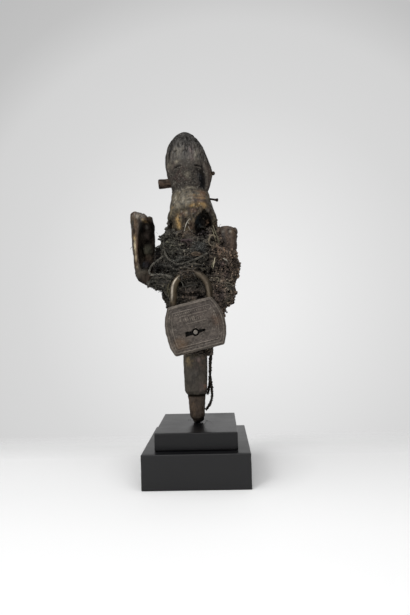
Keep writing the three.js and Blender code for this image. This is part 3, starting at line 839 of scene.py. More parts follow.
def chest_paint(paint, points, fibre):
    """The rubbed dome, grey to the left and brown to the right, and the fibrous face below its lip."""
    x, y, z = points.T
    chest = rise(z, 236, 242) * (1 - rise(z, 281, 285))
    below = chest * rise(dome_edge(x) - z, -0.5, 3) * rise(-y, 2, 10)
    mottle = noise(points, (2.6, 2.6, 4), 29, 2)
    return layered(
        paint,
        (swung((114, 103, 80), 0.6 * fibre), 0.8 * chest),
        ((108, 80, 62), 0.6 * chest * rise(x, -8, 6) * rise(mottle, -0.2, 0.5)),
        ((36, 33, 30), 0.8 * chest * rise(-mottle, 0.15, 0.7)),
        ((22, 20, 18), 0.8 * chest * wrinkles(points, (4, 4, 6), 0.1, 37)),
        (swung((94, 82, 62), 0.8 * noise(points, (1.5, 1.5, 4), 23, 2)), 0.8 * below),
        ((46, 37, 29), 0.8 * below * patchy(points, (2.2, 2.2, 4), 38, 0, 0.5)),
        ((24, 20, 17), 0.8 * below * wrinkles(points, CHEST_CRACKS, 0.14, 43)),
        ((32, 28, 25), 0.9 * near(points, (19, -13, 266), (3.4, 9, 12)) * rise(mottle, -0.9, 0.1)),
    )


def hollow_paint(paint, points):
    """The chest's hollow, dark with earth, bluish on its left wall."""
    x, y, z = points.T
    hollow = rise(y, -20.5, -17) * (1 - rise(z, 262, 265)) * rise(z, 235, 236) * rise(-y, 2, 6)
    hollow = hollow * rise(x, 2, 3.6) * (1 - rise(x, 19, 20.6))
    earth = swung((40, 35, 31), 0.6 * noise(points, 2, 33, 2))
    wall = near(points, (6, -12, 252), (3.4, 9, 6))
    return layered(paint, (earth, 0.9 * hollow), ((50, 64, 72), 0.6 * hollow * wall))


def log_paint(points, side, relief):
    """Dark wood with rubbed and encrusted places and dark stains, painted highlights on the head and the
    dome, painted light and shade on the stake with a black line of painted shade under its shoulder and a
    foot darkened as painted shade, and painted shade in the grooves and under the chest's lip.
    """
    x, y, z = points.T
    fibre = noise(points, (1.3, 1.3, 11), 5, 3)
    shaft = 1 - rise(z, 118, 126)
    paint = swung((88, 80, 71), (0.4 - 0.3 * shaft) * fibre)
    stains = patchy(points, (3.6, 3.6, 7), 22, 0.05, 0.75)
    paint = layered(paint, ((74, 67, 57), 0.7 * shaft), ((48, 44, 40), 0.6 * stains))
    paint = head_paint(paint, points, side)
    paint = chest_paint(paint, points, fibre)
    broken = rise(noise(points, (3, 3, 2.4), 28, 3), -0.45, 0.15)
    # The pale and rosy spots are largely painted highlights on the head and the dome.
    for spots, colour in (
        (PALE_STREAKS_AND_HIGHLIGHTS, (172, 163, 144)), (ROSY_HIGHLIGHTS, (134, 116, 112)), (EARTH, (124, 88, 66)), (OCHRE, (196, 160, 102)),
    ):
        paint = spotted(paint, points, spots, 0.3 + 1.2 * broken, colour)
    # Cream painted highlights on the four largest ochre patches.
    paint = spotted(paint, points, OCHRE[:4], 0.9 * patchy(points, 1.3, 39, 0.35, 0.6), (236, 218, 178))
    paint = spotted(paint, points, SHAFT_MARKS, 1.5 * broken)
    flecks = rise(noise(points, (1.2, 1.2, 2), 25), 0.6, 0.85) * rise(z, 236, 242)
    paint = layered(
        paint,
        ((196, 190, 178), 0.4 * flecks),
        ((76, 60, 48), 0.7 * (1 - rise(z, 76.5, 78.5)) * (1 - rise(z, 60, 50))),
        # painted shade: a black line under the stake's shoulder
        ((20, 16, 8), 0.97 * np.exp(-((z - 77.3) / 1.5) ** 4)),
        # painted shade: the foot darkened where it meets the plinth
        ((14, 13, 12), 0.92 * (1 - rise(z - 0.5 * (x - 2), 51, 56))),
    )
    # Painted shade under the chest's carved lip and in every groove of the relief.
    shade_under_lip = 1.2 * rise(dome_edge(x) - z, 0, 1.6) * rise(-y, 4, 10) * rise(z, 234, 240)
    return over(hollow_paint(paint, points), tone(24, 22, 20), 0.85 * rise(-relief - shade_under_lip, 0.3, 1.1))


HOLLOW_MOUTH = (  # its outline in x and z
    (12, 233), (18, 235), (19.4, 240), (18.8, 247), (17.2, 254), (15, 259.4), (12.8, 262), (11, 260.8),
    (8, 256.4), (5.2, 250), (3.8, 244), (4.4, 238), (7, 234),
)


def ragged(outline, step, depth, seed):
    """An outline whose edge wanders in and out by about so many millimetres."""
    corners = np.array([*outline, outline[0]], dtype=float)
    line = evenly(np.column_stack([corners, np.zeros(len(corners))]), step)[:-1]
    return line[:, :2] + depth * np.stack([noise(line, 2.6, seed + k, 2) for k in range(2)], axis=1)


def carved_log():
    mouth = prism(ragged(HOLLOW_MOUTH, 1.1, 0.8, 34), -40, -9)
    foot = blob((1.2, -0.6, 52.5), (5.2, 4.8, 3.5), 2)
    hollowed = fused([node_shape("figure")], LOG_VOXEL, 4, [mouth])
    shape = fused([hollowed, foot], LOG_VOXEL, 1)
    points, faces = shape
    side = turn_round_log(points)
    relief = log_relief(points, side)
    points = points + normals_of(shape) * relief[:, None]
    points[:, 2] = np.maximum(points[:, 2], PLINTH_TOP + 0.02)
    paint = log_paint(points, side, relief)
    z = points[:, 2]
    head, chest, shaft = rise(z, 300, 316), rise(z, 246, 262), 1 - rise(z, 124, 130)
    polish = 0.75 * head + 0.7 * chest * (1 - rise(z, 282, 286)) + 0.25 * shaft
    material = wood_material("carved_wood", 0.8, 0.38, 0.35)
    piece("carved_log", (points, faces), material, ["figure"], paint, polish)


# Billets

def billet_paint(points, seed):
    """Brown wood, rubbed paler and stained darker in patches."""
    return layered(
        swung((82, 66, 52), 0.5 * noise(points, (1.4, 1.4, 14), seed, 3)),
        ((136, 112, 86), 0.4 * patchy(points, (3.4, 3.4, 8), seed + 1, 0.15, 0.7)),
        ((28, 21, 16), 0.85 * rise(-noise(points, (3, 3, 7), seed + 2, 2), 0.05, 0.6)),
    )


# Most are stains and the colours of what fills the hollow. The pale spots on the rounded outer side and on
# the top are painted highlights, and the bluish bands at x -52 and -51 are painted shade where the side
# turns into the hollow.
BILLET_SPOTS_AND_PAINTED_LIGHT = (  # centre, size, colour, share
    ((-46.4, -6, 225.6), (4.6, 8, 5), (70, 68, 52), 0.7),
    ((-46, -4, 217.5), (5, 8, 3.4), (66, 50, 36), 0.6),
    ((-47, -6, 249.6), (1.6, 6, 2.6), (108, 100, 92), 0.6),
    ((-47, -5, 241), (3.4, 7, 5), (58, 47, 42), 0.6), ((-48, -6, 209.5), (3.4, 7, 4), (40, 38, 50), 0.6),
    ((-52.6, -11.8, 203), (8, 6, 5), (84, 78, 62), 0.6), ((-52, -12, 236), (1.6, 5, 17), (52, 60, 64), 0.8),
    ((-51, -12, 213), (1.4, 5, 7), (50, 56, 62), 0.7),
    ((-58.4, -11.5, 229), (1.2, 5, 6), (255, 236, 196), 1.0),
    ((-57.6, -12, 217.6), (1.1, 5, 3), (250, 228, 190), 0.9),
    ((-58.6, -11.5, 237.4), (1.6, 5, 2.4), (206, 176, 128), 0.8),
    ((-56.4, -12, 208.5), (1.6, 5, 2), (180, 166, 140), 0.6),
    ((-56.2, -13, 229), (1, 5, 12), (120, 80, 48), 0.7),
    ((-56.5, -11, 247), (1.4, 5, 5), (150, 120, 90), 0.5),
    ((-54.5, -11, 259), (4, 7, 2.6), (156, 142, 122), 0.7),
    ((-49.8, -9, 255.4), (1.3, 5, 1.3), (190, 168, 128), 0.9),
    ((-47.5, -8, 254.4), (2.4, 5, 1.2), (136, 106, 62), 0.6),
    ((-57.2, -11.6, 200), (2.4, 5, 4), (112, 106, 92), 0.6), ((-61, -5, 254), (2, 7, 6), (84, 88, 82), 0.6),
    ((-49, -12, 197), (8, 8, 5), (54, 46, 38), 0.7),
)


# Near-black painted shade: by the post, in a deep hole of the hollow and in the gap at its foot.
BILLET_PAINTED_SHADOWS = (  # centre, size, share
    ((-41.4, -4, 246), (3, 8, 16), 0.95), ((-47.2, -5, 233.4), (3, 6, 2), 0.95),
    ((-44, -2, 206), (4, 8, 5), 0.8),
)
BILLET_FILLING = (  # centre, size
    ((-46.9, -3.4, 249.6), (2.6, 2.4, 4)), ((-46.6, -1.6, 241), (5.4, 3.4, 6)),
    ((-46, -1.6, 226), (6.6, 5, 8)), ((-45, -1.4, 216), (5.6, 4.6, 6.4)),
    ((-48.6, -3.4, 209), (5, 5.4, 6)), ((-49.6, -7, 202), (6.6, 6.4, 4.4)),
    ((-44, 0, 234), (4, 3, 6)), ((-43.4, 0.5, 250), (3, 3, 6)),
)
BILLET_POST = ((-42.6, -1.4, 236), (-42.4, -2, 246), (-42.2, -3.4, 254), (-42.6, -4.4, 259.6))
# The two small pale spots near the top are painted highlights.
RIGHT_BILLET_SPOTS_AND_HIGHLIGHTS = (  # centre, size, colour, share
    ((37.9, -10.8, 241.2), (1.2, 4, 1.2), (190, 180, 162), 0.7),
    ((30.6, -9.9, 241.6), (1.2, 4, 1.2), (190, 180, 162), 0.7),
    ((37, -10.8, 230), (3.5, 5, 9), (120, 98, 80), 0.4), ((30, -9, 236), (2.4, 6, 8), (62, 64, 66), 0.6),
)


def scooped_billet():
    """The billet hollowed out in front, with lumps and a post packed into the hollow."""
    share = np.linspace(0, 1, 17)
    x, z = -45.6 - 1.2 * np.sin(math.pi * share), 203 + 51.5 * share
    line = np.stack([x, np.full(len(share), -11.6), z], axis=1)
    scoop = tube(line, 8.7 * np.sin(0.45 + (math.pi - 0.75) * share) ** 0.5, 18)
    notch = blob((-45.6, -8, 261.4), (1.4, 12, 3))
    hollowed = fused([node_shape("left_billet")], 0.8, 14, [scoop, notch])
    post = tube(evenly(np.array(BILLET_POST), 3), 1.7, 10)
    filling = [blob(centre, size) for centre, size in BILLET_FILLING]
    return fused([hollowed, *filling, post], BILLET_VOXEL, 5)


def left_billet():
    """The scooped billet: rounded and handled outside, with painted highlights there, and painted dark as
    shade in its shallow hollow and where its side turns into it.
    """
    points, faces = scooped_billet()
    normals = normals_of((points, faces))
    x, y, z = points.T
    scooped = rise(x, -58.4, -49.4) * rise(-y, -1, 4) * (1 - rise(z, 251, 257)) * rise(z, 199, 206)
    outer = rise(np.hypot((x + 51.2) / 11.5, (y + 1) / 12.4), 0.7, 0.92) * (1 - scooped)
    relief = 0.45 * noise(points, (3.4, 3.4, 12), 65, 3) + 0.5 * noise(points, 5, 66, 2)
    relief += (1 - outer) * (0.6 * grains(points, 2.8, 67) - 0.35)
    relief -= 0.9 * outer * patchy(points, (2, 2, 16), 68, 0.45, 0.8)
    points = points + normals * relief[:, None]
    # The hollow is painted dark as shade.
    inside = swung((36, 30, 24), 0.9 * noise(points, (2.6, 2.6, 6), 63, 3))
    paint = over(billet_paint(points, 61), inside, 0.97 * (1 - outer))
    paint = spotted(paint, points, BILLET_SPOTS_AND_PAINTED_LIGHT, 1 + 0.6 * noise(points, 1.8, 69, 2))
    # Painted shade on the outer side where it turns in towards the hollow.
    shaded_inner_side = rise(points[:, 0], -58, -54.4) * rise(-points[:, 1], 4, 8)
    shaded_inner_side = shaded_inner_side * rise(z, 203, 210) * (1 - rise(z, 246, 254))
    paint = over(paint, tone(42, 34, 28), 0.85 * outer * shaded_inner_side)
    paint = spotted(paint, points, BILLET_PAINTED_SHADOWS, colour=(14, 12, 11))
    material = wood_material("billet_wood", 0.8, 0.3, 0.35)
    polish = outer * rise(z, 200, 212)
    piece("left_side_billet", (points, faces), material, ["left_billet"], paint, polish)


def right_billet():
    """The other billet, crusted over below a slanting edge, with two painted highlights near its top and
    painted shade in its dents.
    """
    points, faces = fused([node_shape("right_billet")], BILLET_VOXEL, 3)
    normals = normals_of((points, faces))
    x, _, z = points.T
    crusted = 1 - rise(z + 0.35 * (x - 35) + 5 * noise(points, 6, 74, 2), 216, 238)
    relief = 0.45 * noise(points, (2.6, 2.6, 9), 71, 3) + 0.6 * noise(points, 5, 72, 2)
    relief += (0.55 + 0.7 * crusted) * (1.2 * grains(points, 2.5, 73) - 0.5)
    relief += 0.5 * band(z + 0.1 * (x - 36), 243.6, 1.1)
    points = points + normals * relief[:, None]
    dusty = swung((80, 68, 58), 0.6 * noise(points, 1.8, 76, 2))
    brown = (84, 68, 57), np.full(len(z), 0.3)
    paint = layered(billet_paint(points, 75), brown, (dusty, 0.85 * crusted))
    paint = spotted(paint, points, RIGHT_BILLET_SPOTS_AND_HIGHLIGHTS)
    # Painted shade in the dents of the relief.
    paint = over(paint, tone(24, 21, 19), 0.8 * rise(-relief, 0.35, 0.9))
    material = wood_material("right_billet_wood", 0.82, 0.4, 0.35)
    polish = 0.7 * (1 - crusted)
    piece("right_side_billet", (points, faces), material, ["right_billet"], paint, polish)


# Bundle: crust, string and crumbs

CRUST_LUMPS = (  # centre, size
    ((-29.6, -9, 235), (4, 6, 4)), ((-26.6, -15, 236), (5.6, 6, 5)), ((-36.7, -6.8, 187.6), (5, 6, 4.5)),
    ((-43.9, -9.1, 191.2), (4.5, 5, 4)), ((-8.8, -31, 198), (4.4, 4.8, 4.2)),
    ((-3.2, -31, 199.6), (5.6, 5, 4)), ((1, -26, 204), (10, 5, 5.5)), ((-3, -24, 193), (9, 5, 4)),
    ((-3.1, -24, 183), (8, 4, 7)), ((38.5, -5, 216), (6, 9, 9)), ((41, -4, 208), (5.5, 9, 7)),
    ((36, -8, 200), (6, 9, 7)), ((36.5, -4, 187), (4.5, 8, 7)), ((31, -6, 177), (6, 9, 6)),
    ((27, -11, 232), (5, 7, 3)), ((20, -19, 222), (6, 5, 6)), ((27, -19, 218), (5.4, 5.4, 5)),
    ((24, -18, 205), (7, 5, 6)), ((26, -15, 192), (6, 6, 6)), ((-20, -21, 226), (8, 4.4, 9)),
    ((-22, -20, 208), (6, 5, 5)), ((8, -23, 222), (7, 4, 4)), ((-8, -23, 214), (8, 4, 4)),
    ((4, -23, 207), (8, 4, 4)), ((-23.4, -9, 251), (2.4, 5, 4)), ((-24.4, -8, 245), (3, 6, 4)),
    ((-24.8, -9, 240), (3.4, 6, 4)), ((25.6, -4, 241), (4, 7, 5)), ((27.4, -3, 236), (4, 7, 6)),
    ((23.4, -8, 252), (1.6, 3, 4)), ((14.8, -10.4, 251), (2.6, 3.4, 3.4)), ((10, -14, 239.6), (6, 5, 2.6)),
    ((17.6, -13, 243), (2, 4, 4)), ((7.4, -10.6, 248), (2.6, 3, 4)), ((11.4, -10, 256), (2.4, 2.6, 2.6)),
    ((12, -11.6, 246.4), (2.4, 3, 2.2)), ((14.6, -2, 121), (4, 6, 5)), ((13, -6, 122), (4.4, 6, 5)),
    ((3, -11.6, 119.8), (10, 3, 3.2)), ((-8.4, -8, 119.6), (4.4, 4.6, 3.2)), ((4, 9, 121), (12, 4, 4)),
    ((9, -9.6, 119), (5, 3.4, 3)),
)
PATCHES = (  # centre, size, colour, share
    ((-22, -20, 228), (11, 14, 11), (98, 97, 80), 0.7), ((-30, -12, 236), (7, 10, 8), (84, 84, 70), 0.6),
    ((-5, -23, 238), (9, 6, 4), (104, 84, 64), 0.8), ((-6, -24, 230.4), (7, 5, 1.8), (98, 72, 72), 0.6),
    ((-2, -25, 226), (3, 5, 3), (104, 74, 62), 0.4), ((7, -25.5, 223.5), (7, 6, 4.5), (84, 88, 90), 0.6),
    ((8, -25.5, 218), (9, 6, 3), (78, 78, 80), 0.5), ((4, -25.5, 216.4), (7, 5, 1.6), (124, 96, 70), 0.6),
    ((20, -20, 228), (5, 7, 5), (122, 114, 88), 0.5), ((27, -20, 219), (5, 7, 5), (146, 116, 92), 0.9),
    ((24, -20, 208), (8, 9, 8), (108, 96, 82), 0.6), ((28.7, -21, 207), (3, 6, 3), (92, 64, 76), 0.6),
    ((33, -17, 197), (4, 8, 5), (102, 84, 86), 0.6), ((27, -19, 177), (6, 8, 8), (98, 82, 82), 0.7),
    ((35, -13.6, 186), (5, 9, 8), (98, 100, 86), 0.6), ((32.8, -12, 172.3), (4, 8, 4), (92, 94, 78), 0.5),
    ((36, -10, 214), (7, 12, 12), (118, 98, 82), 0.7), ((22, -20, 195), (6, 8, 5), (112, 102, 88), 0.5),
    ((-26, -14, 184), (4, 8, 6), (112, 106, 82), 0.6), ((-15, -24, 212), (9, 6, 6), (90, 92, 88), 0.55),
    ((-35, -8, 207), (4, 9, 4), (72, 80, 64), 0.5), ((-10, -24, 200), (14, 6, 5), (84, 86, 82), 0.5),
    ((-3, -25, 178), (13, 8, 7), (124, 106, 92), 0.85), ((-40, -8, 192), (7, 9, 5), (78, 80, 70), 0.6),
    ((14.8, -10, 251), (2.8, 5, 3.2), (138, 96, 62), 1.0),
    ((9.5, -16, 239), (7, 9, 3.4), (62, 50, 60), 1.0), ((7.4, -11, 249), (3, 5, 5), (54, 66, 72), 0.8),
    ((12, -11, 255), (3, 5, 4), (70, 60, 50), 0.7), ((-24, -9, 250), (3, 6, 8), (64, 58, 52), 0.7),
    ((-4, -31, 199), (10, 7, 5), (92, 72, 54), 0.85), ((4, -10, 120), (16, 8, 5), (104, 84, 66), 0.8),
    ((-3, -12, 118), (5, 6, 2), (60, 54, 30), 0.8),
)
# Places painted dark as shade: deep gaps between the strings and the inside of the side loop.
PAINTED_SHADE_PLACES = (  # centre, size, colour
    ((-36.5, -8, 222), (5, 14, 9), (22, 15, 20)), ((-34, -12, 206.4), (7.4, 16, 5.6), (20, 19, 26)),
    ((-41, -8, 216), (4, 9, 12), (26, 20, 22)), ((-3, -23, 192), (12, 6, 4), (26, 22, 20)),
    ((18, -22, 201), (3, 8, 4), (18, 18, 17)), ((20.5, -20, 231.6), (3.8, 8, 3.2), (20, 19, 18)),
)


def crust_tint(points):
    """The crust's colour from place to place, with painted shade in the dark places between the strings."""
    paint = over(plain((80, 75, 66), points), tone(132, 112, 95), 0.8 * rise(points[:, 0], 10, 26))
    paint = spotted(paint, points, PATCHES)
    paint = paint * (1 + 0.68 * noise(points, 4.6, 81, 2))[:, None]
    return spotted(paint, points, [(*place, 0.85) for place in PAINTED_SHADE_PLACES])


GAPS = (  # where the crust falls back into the dark between the strings: centre, size, depth
    ((-35.5, -14, 222), (3.6, 12, 9), 5.5), ((-36, -14, 206), (3.4, 12, 4), 3.5),
    ((-28.6, -24, 203), (2.6, 9, 2.4), 3), ((16, -24, 212), (2.4, 9, 2.4), 3),
    ((12, -24, 206), (3, 9, 2), 3), ((-24, -22, 216), (2, 9, 3), 2.5),
    ((-16, -24, 218), (2.4, 9, 1.6), 2.5), ((-8, -26, 218.4), (5, 9, 1.2), 2.2),
    ((26, -20, 213), (2, 9, 2), 2.6), ((21, -22, 200), (2, 9, 2.4), 2.6),
    ((30, -18, 204), (1.8, 9, 2), 2.2), ((29, -17, 186), (2, 9, 2.4), 2.4),
    ((-12, -26, 189), (2.6, 9, 3), 3), ((2, -26, 178), (6, 9, 2), 2.6), ((6, -26, 188), (2.4, 9, 3), 2.6),
    ((22, -20, 231), (2, 9, 2), 2.6), ((-3, -26, 204), (4, 9, 1.2), 2.6), ((33, -12, 224), (2, 8, 3), 2.2),
    ((9.5, -20, 239.5), (8, 7, 3.6), 3.5), ((19, -22, 226.4), (1.6, 8, 1.8), 3),
    ((18.6, -22, 200), (1.8, 8, 4), 3), ((-30, -8, 158), (9, 14, 12), 4.5),
    ((37, -8, 162.5), (6, 16, 5), 5), ((-8, -25, 211), (6, 8, 0.9), 2), ((4, -26, 213.6), (7, 8, 0.8), 2),
)


def gap_depth(points):
    return np.max([deep * near(points, centre, size) for centre, size, deep in GAPS], axis=0)


def lump_weight(at):
    """How thickly the strewn lumps lie: few below, many to the right, and none on the lock."""
    return np.clip((at[:, 2] - 128) / 30, 0.1, 1) * outside_lock(at, 6) * (0.6 + rise(at[:, 0], 5, 20))


def crust_body():
    rng = np.random.default_rng(5)
    middle = np.array([(0, 0, 128), (0, 0, 150), (0, -0.5, 200), (0, -1, 230)])
    core = tube(middle, np.array([11, 12, 15, 17]), 20)
    skin = node_shape("bundle")
    places, _ = scattered(skin, 340, rng, lump_weight)
    lumps = pebbles(places, rng.uniform(1.2, 3.4, len(places)), 2, rng)
    named = [blob(centre, size) for centre, size in CRUST_LUMPS]
    shape = fused([skin, core, lumps, *named], CRUST_VOXEL, 2)
    points, faces = shape
    z = points[:, 2]
    relief = noise(points, 6, 82, 2) + 0.5 * noise(points, 2.2, 84, 2)
    relief += 1.5 * (grains(points, 3.2, 83) - 0.7)
    pitted = 3.2 * patchy(points, 5, 85, 0.3, 0.85) * rise(z, 150, 165) * (1 - rise(z, 238, 244))
    relief -= np.maximum(pitted, gap_depth(points))
    points = points + normals_of(shape) * (relief * outside_lock(points, 1.5))[:, None]
    paint = 0.85 * crust_tint(points) * (1 + 0.9 * noise(points, 1.8, 86, 2))[:, None]
    # Painted shade in the crust's hollows and gaps.
    paint = over(paint, tone(18, 16, 15), 0.95 * rise(-relief, 0.5, 2))
    shape = points, faces
    piece("crust", shape, crust_material("crust"), ["bundle"], paint)
    return shape


def lock_frame(points, at, lean):
    """Points seen in the padlock's own frame."""
    x, y, z = (points - np.array(at)).T
    cos, sin = math.cos(lean), math.sin(lean)
    return np.stack([cos * x + sin * z, y, cos * z - sin * x], axis=1)


def world_frame(points, at, lean):
    cos, sin = math.cos(lean), math.sin(lean)
    x, y, z = points.T
    return np.stack([cos * x - sin * z, y, sin * x + cos * z], axis=1) + np.array(at)


def outside_lock(points, margin):
    """0 in the space the padlock's case takes, with a margin round it, and 1 elsewhere."""
    x, y, z = lock_frame(points, LOCK_AT, LOCK_LEAN).T
    inside = (abs(x) < CASE_WIDTH / 2 + margin) & (abs(z) < CASE_HEIGHT / 2 + margin)
    return 1.0 - (inside & (y > -CASE_THICK / 2 - margin) & (y < CASE_THICK / 2 + margin))


WRAP_MIDDLE, WRAP_WIDE, WRAP_DEEP = (1.5, -0.5), 44, 25


def eased(values):
    """A running mean over nine values."""
    return np.convolve(np.pad(values, 4, mode="edge"), np.ones(9) / 9, "valid")


def laid(tree, angles, heights, lift):
    """A line wound on the crust. It spans dents, as tight string does, and skips what it can't rest on."""
    sin, cos = np.sin(angles), np.cos(angles)
    out = unit(np.stack([sin / WRAP_WIDE, -cos / WRAP_DEEP, 0 * angles], axis=1))
    x, y = WRAP_MIDDLE[0] + WRAP_WIDE * sin, WRAP_MIDDLE[1] - WRAP_DEEP * cos
    start = np.stack([x, y, heights], axis=1) + 30 * out
    reach = [tree.ray_cast(Vector(at), Vector(-way), 75)[3] or np.nan for at, way in zip(start, out)]
    far = np.array(reach)
    met = np.isfinite(far)
    if met.sum() < 6:
        return []
    depth = -np.interp(np.arange(len(far)), np.flatnonzero(met), far[met])
    for _ in range(2):
        depth = np.maximum(depth, eased(depth))
    line = start + out * (depth + lift)[:, None]
    keep = met & (outside_lock(line, 2.2) > 0.5) & (gap_depth(line) < 2.2) & ~on_chest(line)
    runs = np.split(np.arange(len(line)), np.flatnonzero(np.diff(keep.astype(int))) + 1)
    return [line[run] for run in runs if keep[run[0]] and len(run) > 7]


def on_chest(points):
    """The bare front above the wrapping, where no string lies."""
    x, y, z = points.T
    return (y < -8) & (z > np.interp(x, (-24, -14, -6, 6, 14, 24), (240, 236, 232.5, 232, 234, 236)))


def wound(tree, rng, count, bottom, top, thick, lift, step, middle, spread, slant=9.0, reach=(0.3, 1.5)):
    """Bands of string wound on the crust, each with its own turn, height, slant and number of strings."""
    lines = []
    for _ in range(count):
        centre = middle + rng.normal() * spread
        half = rng.uniform(*reach)
        height, lean = rng.uniform(bottom, top), rng.normal() * slant
        wave, phase = rng.uniform(0.8, 4.2), rng.uniform(0, 6.28)
        strands = rng.integers(1, 4)
        size = thick * rng.uniform(0.6, 1.2)
        turns = np.arange(centre - half, centre + half, step / 34)
        for k in range(strands):
            wander = 3.0 * noise(turns[:, None] * (9, 0, 0), 4.0, rng.integers(999), 2)
            heights = height + lean * (turns - centre) + wave * np.sin(2.2 * turns + phase) + wander
            heights = heights + (k - strands / 2) * size * 1.2
            lines += [(line, size) for line in laid(tree, turns, heights, lift + rng.uniform(-0.4, 0.5))]
    return lines


def netted(tree, rng):
    """Thin strings that cross each other over the bundle's upper left, and a few that climb elsewhere."""
    lines = []
    for k in range(13):
        for way in (-1, 1):
            heights = np.arange(238, 207, -0.8)
            crossing = way * 0.34 * ((238 - heights) / 31 - 0.5)
            wander = 0.05 * noise(heights[:, None] * (1, 0, 0), 5, 40 + k)
            angles = -0.95 + 0.085 * k + crossing + wander
            lines += [(line, 1.15) for line in laid(tree, angles, heights, rng.uniform(0.2, 0.6))]
    for _ in range(46):
        top, tall = rng.uniform(150, 236), rng.uniform(14, 34)
        heights = np.arange(top, top - tall, -0.8)
        drift = rng.normal() * 0.012 * (top - heights)
        start = rng.uniform(-3.1, 3.1)
        angles = start + drift + 0.16 * noise(heights[:, None] * (1, 0, 0), 7, rng.integers(999), 2)
        size = rng.uniform(0.9, 1.6)
        lines += [(line, size) for line in laid(tree, angles, heights, rng.uniform(0.3, 0.9))]
    return lines


def curl_weight(at):
    """How thickly the curls stand: mostly in front and above, and none on the lock or the bare chest."""
    return rise(at[:, 2], 150, 175) * outside_lock(at, 3) * (0.4 + rise(-at[:, 1], 2, 10)) * ~on_chest(at)


def curls(crust, rng, count):
    """Short ends, loops and snarls of string that stand off the crust."""
    places, normals = scattered(crust, count, rng, curl_weight)
    lines = []
    for place, normal in zip(places, normals):
        flat = unit(np.cross(normal, rng.normal(size=3)))
        up = unit(normal + flat * rng.normal() * 0.7)
        radius = rng.uniform(0.9, 2.6)
        turn = np.linspace(0, rng.uniform(2.2, 5.6), 14)
        off = np.sin(turn)[:, None] * flat + (0.1 - 0.6 * np.cos(turn))[:, None] * up
        drift = np.linspace(0, rng.normal() * 1.8, 14)[:, None] * np.cross(flat, up)
        lines.append((evenly(place + radius * off + drift, 0.7), rng.uniform(0.6, 1.25)))
    return lines


STRING_SHADES = (
    (94, 93, 84), (80, 76, 68), (66, 58, 50), (104, 103, 96), (112, 106, 94), (44, 40, 36), (58, 54, 48),
)


def string_paint(line, rng, dark):
    """One strand's colour: half the crust's where it lies, and half a shade of its own."""
    own = tone(*rng.choice(STRING_SHADES))
    tint = crust_tint(line)
    # The strand is dimmed where the crust under it is dark, which carries the crust's painted shade onto
    # it; dark, below 1, paints a whole layer in shade.
    dim = np.clip(tint.mean(axis=1) / tone(60, 58, 52).mean(), 0.15, 1)[:, None]
    return (0.5 * own * dim + 0.5 * tint) * rng.choice([0.28, 0.8, 1.15, 2.1]) * dark


def painted(lines, maker, rng, dark=1.0, own=None):
    """Strings made along lines, as one shape, and the colour of each of its points."""
    shapes, paints = [], []
    for line, size in lines:
        made = maker(line, size)
        if own is None:
            tint = string_paint(line, rng, dark)
        else:
            tint = tone(*own) * np.full((len(line), 1), rng.uniform(0.6, 1.4))
        count = len(made[0])
        each = count // max(1, round(count / (len(line) * 6 + 2)))
        index = np.arange(count) % each * len(line) // each
        shapes.append(made)
        paints.append(tint[np.clip(index, 0, len(line) - 1)])
    return joined(shapes), np.concatenate(paints)


def bindings():
    """Strings tied over the shackle's top: they leave the bundle, cross the bar and go back into it."""
    lines = []
    for k in range(7):
        x = np.arange(-26 + 3.5 * (k % 3), 14 - 4 * (k % 3), 0.8)
        z = 205.4 - 1.7 * k + 1.8 * np.sin(x / 5 + 1.7 * k) + 0.012 * (x + 5) ** 2 * (1.2 - 0.3 * k)
        over_bar = np.exp(-((x + 5.6) / (7.4 + 1.2 * (k % 2))) ** 4)
        y = -25.6 - 10.4 * over_bar * (0.85 + 0.15 * math.cos(k - 3)) + 0.1 * np.maximum(abs(x + 4) - 14, 0)
        y -= 0.8 * noise(np.stack([x, z, 0 * x], 1), 4, 140 + k, 2)
        lines.append((np.stack([x, y, z], axis=1), 1.1 + 0.2 * (k % 3)))
    for k, (at, lean) in enumerate(((-11.6, 0.5), (-8.4, -0.7), (-5.6, 0.9), (-2.6, -0.4), (0, 0.8))):
        turn = np.arange(-0.5, 2 * math.pi - 1.6, 0.15)
        wobble = 0.9 * noise(np.stack([turn * 3, 0 * turn, 0 * turn], 1), 2.4, 150 + k, 2)
        round_bar = 4.9 + 0.5 * math.sin(2 * k) + wobble
        middle = 199 - 0.12 * max(0, -at - 5) ** 1.6
        y, z = -30.5 - round_bar * np.sin(turn), middle + round_bar * np.cos(turn)
        lines.append((np.stack([at + lean * turn + wobble, y, z], axis=1), 1.2 + 0.3 * (k % 2)))
    return lines


def snarl(middle, radius, count, rng):
    """A knot of small loops round one place."""
    lines = []
    for _ in range(count):
        first = unit(rng.normal(size=3))
        second = unit(np.cross(first, rng.normal(size=3)))
        turn = np.linspace(0, rng.uniform(3, 6), 16)[:, None]
        size = radius * rng.uniform(0.4, 0.8)
        centre = np.array(middle) + rng.normal(size=3) * radius * 0.35
        loop = centre + size * (np.cos(turn) * first + np.sin(turn) * second)
        lines.append((evenly(loop, 0.7), rng.uniform(0.7, 1.2)))
    return lines


WOVEN_MIDDLE, WOVEN_PITCH, WOVEN_TILT = (5.2, 225), 1.15, -0.06


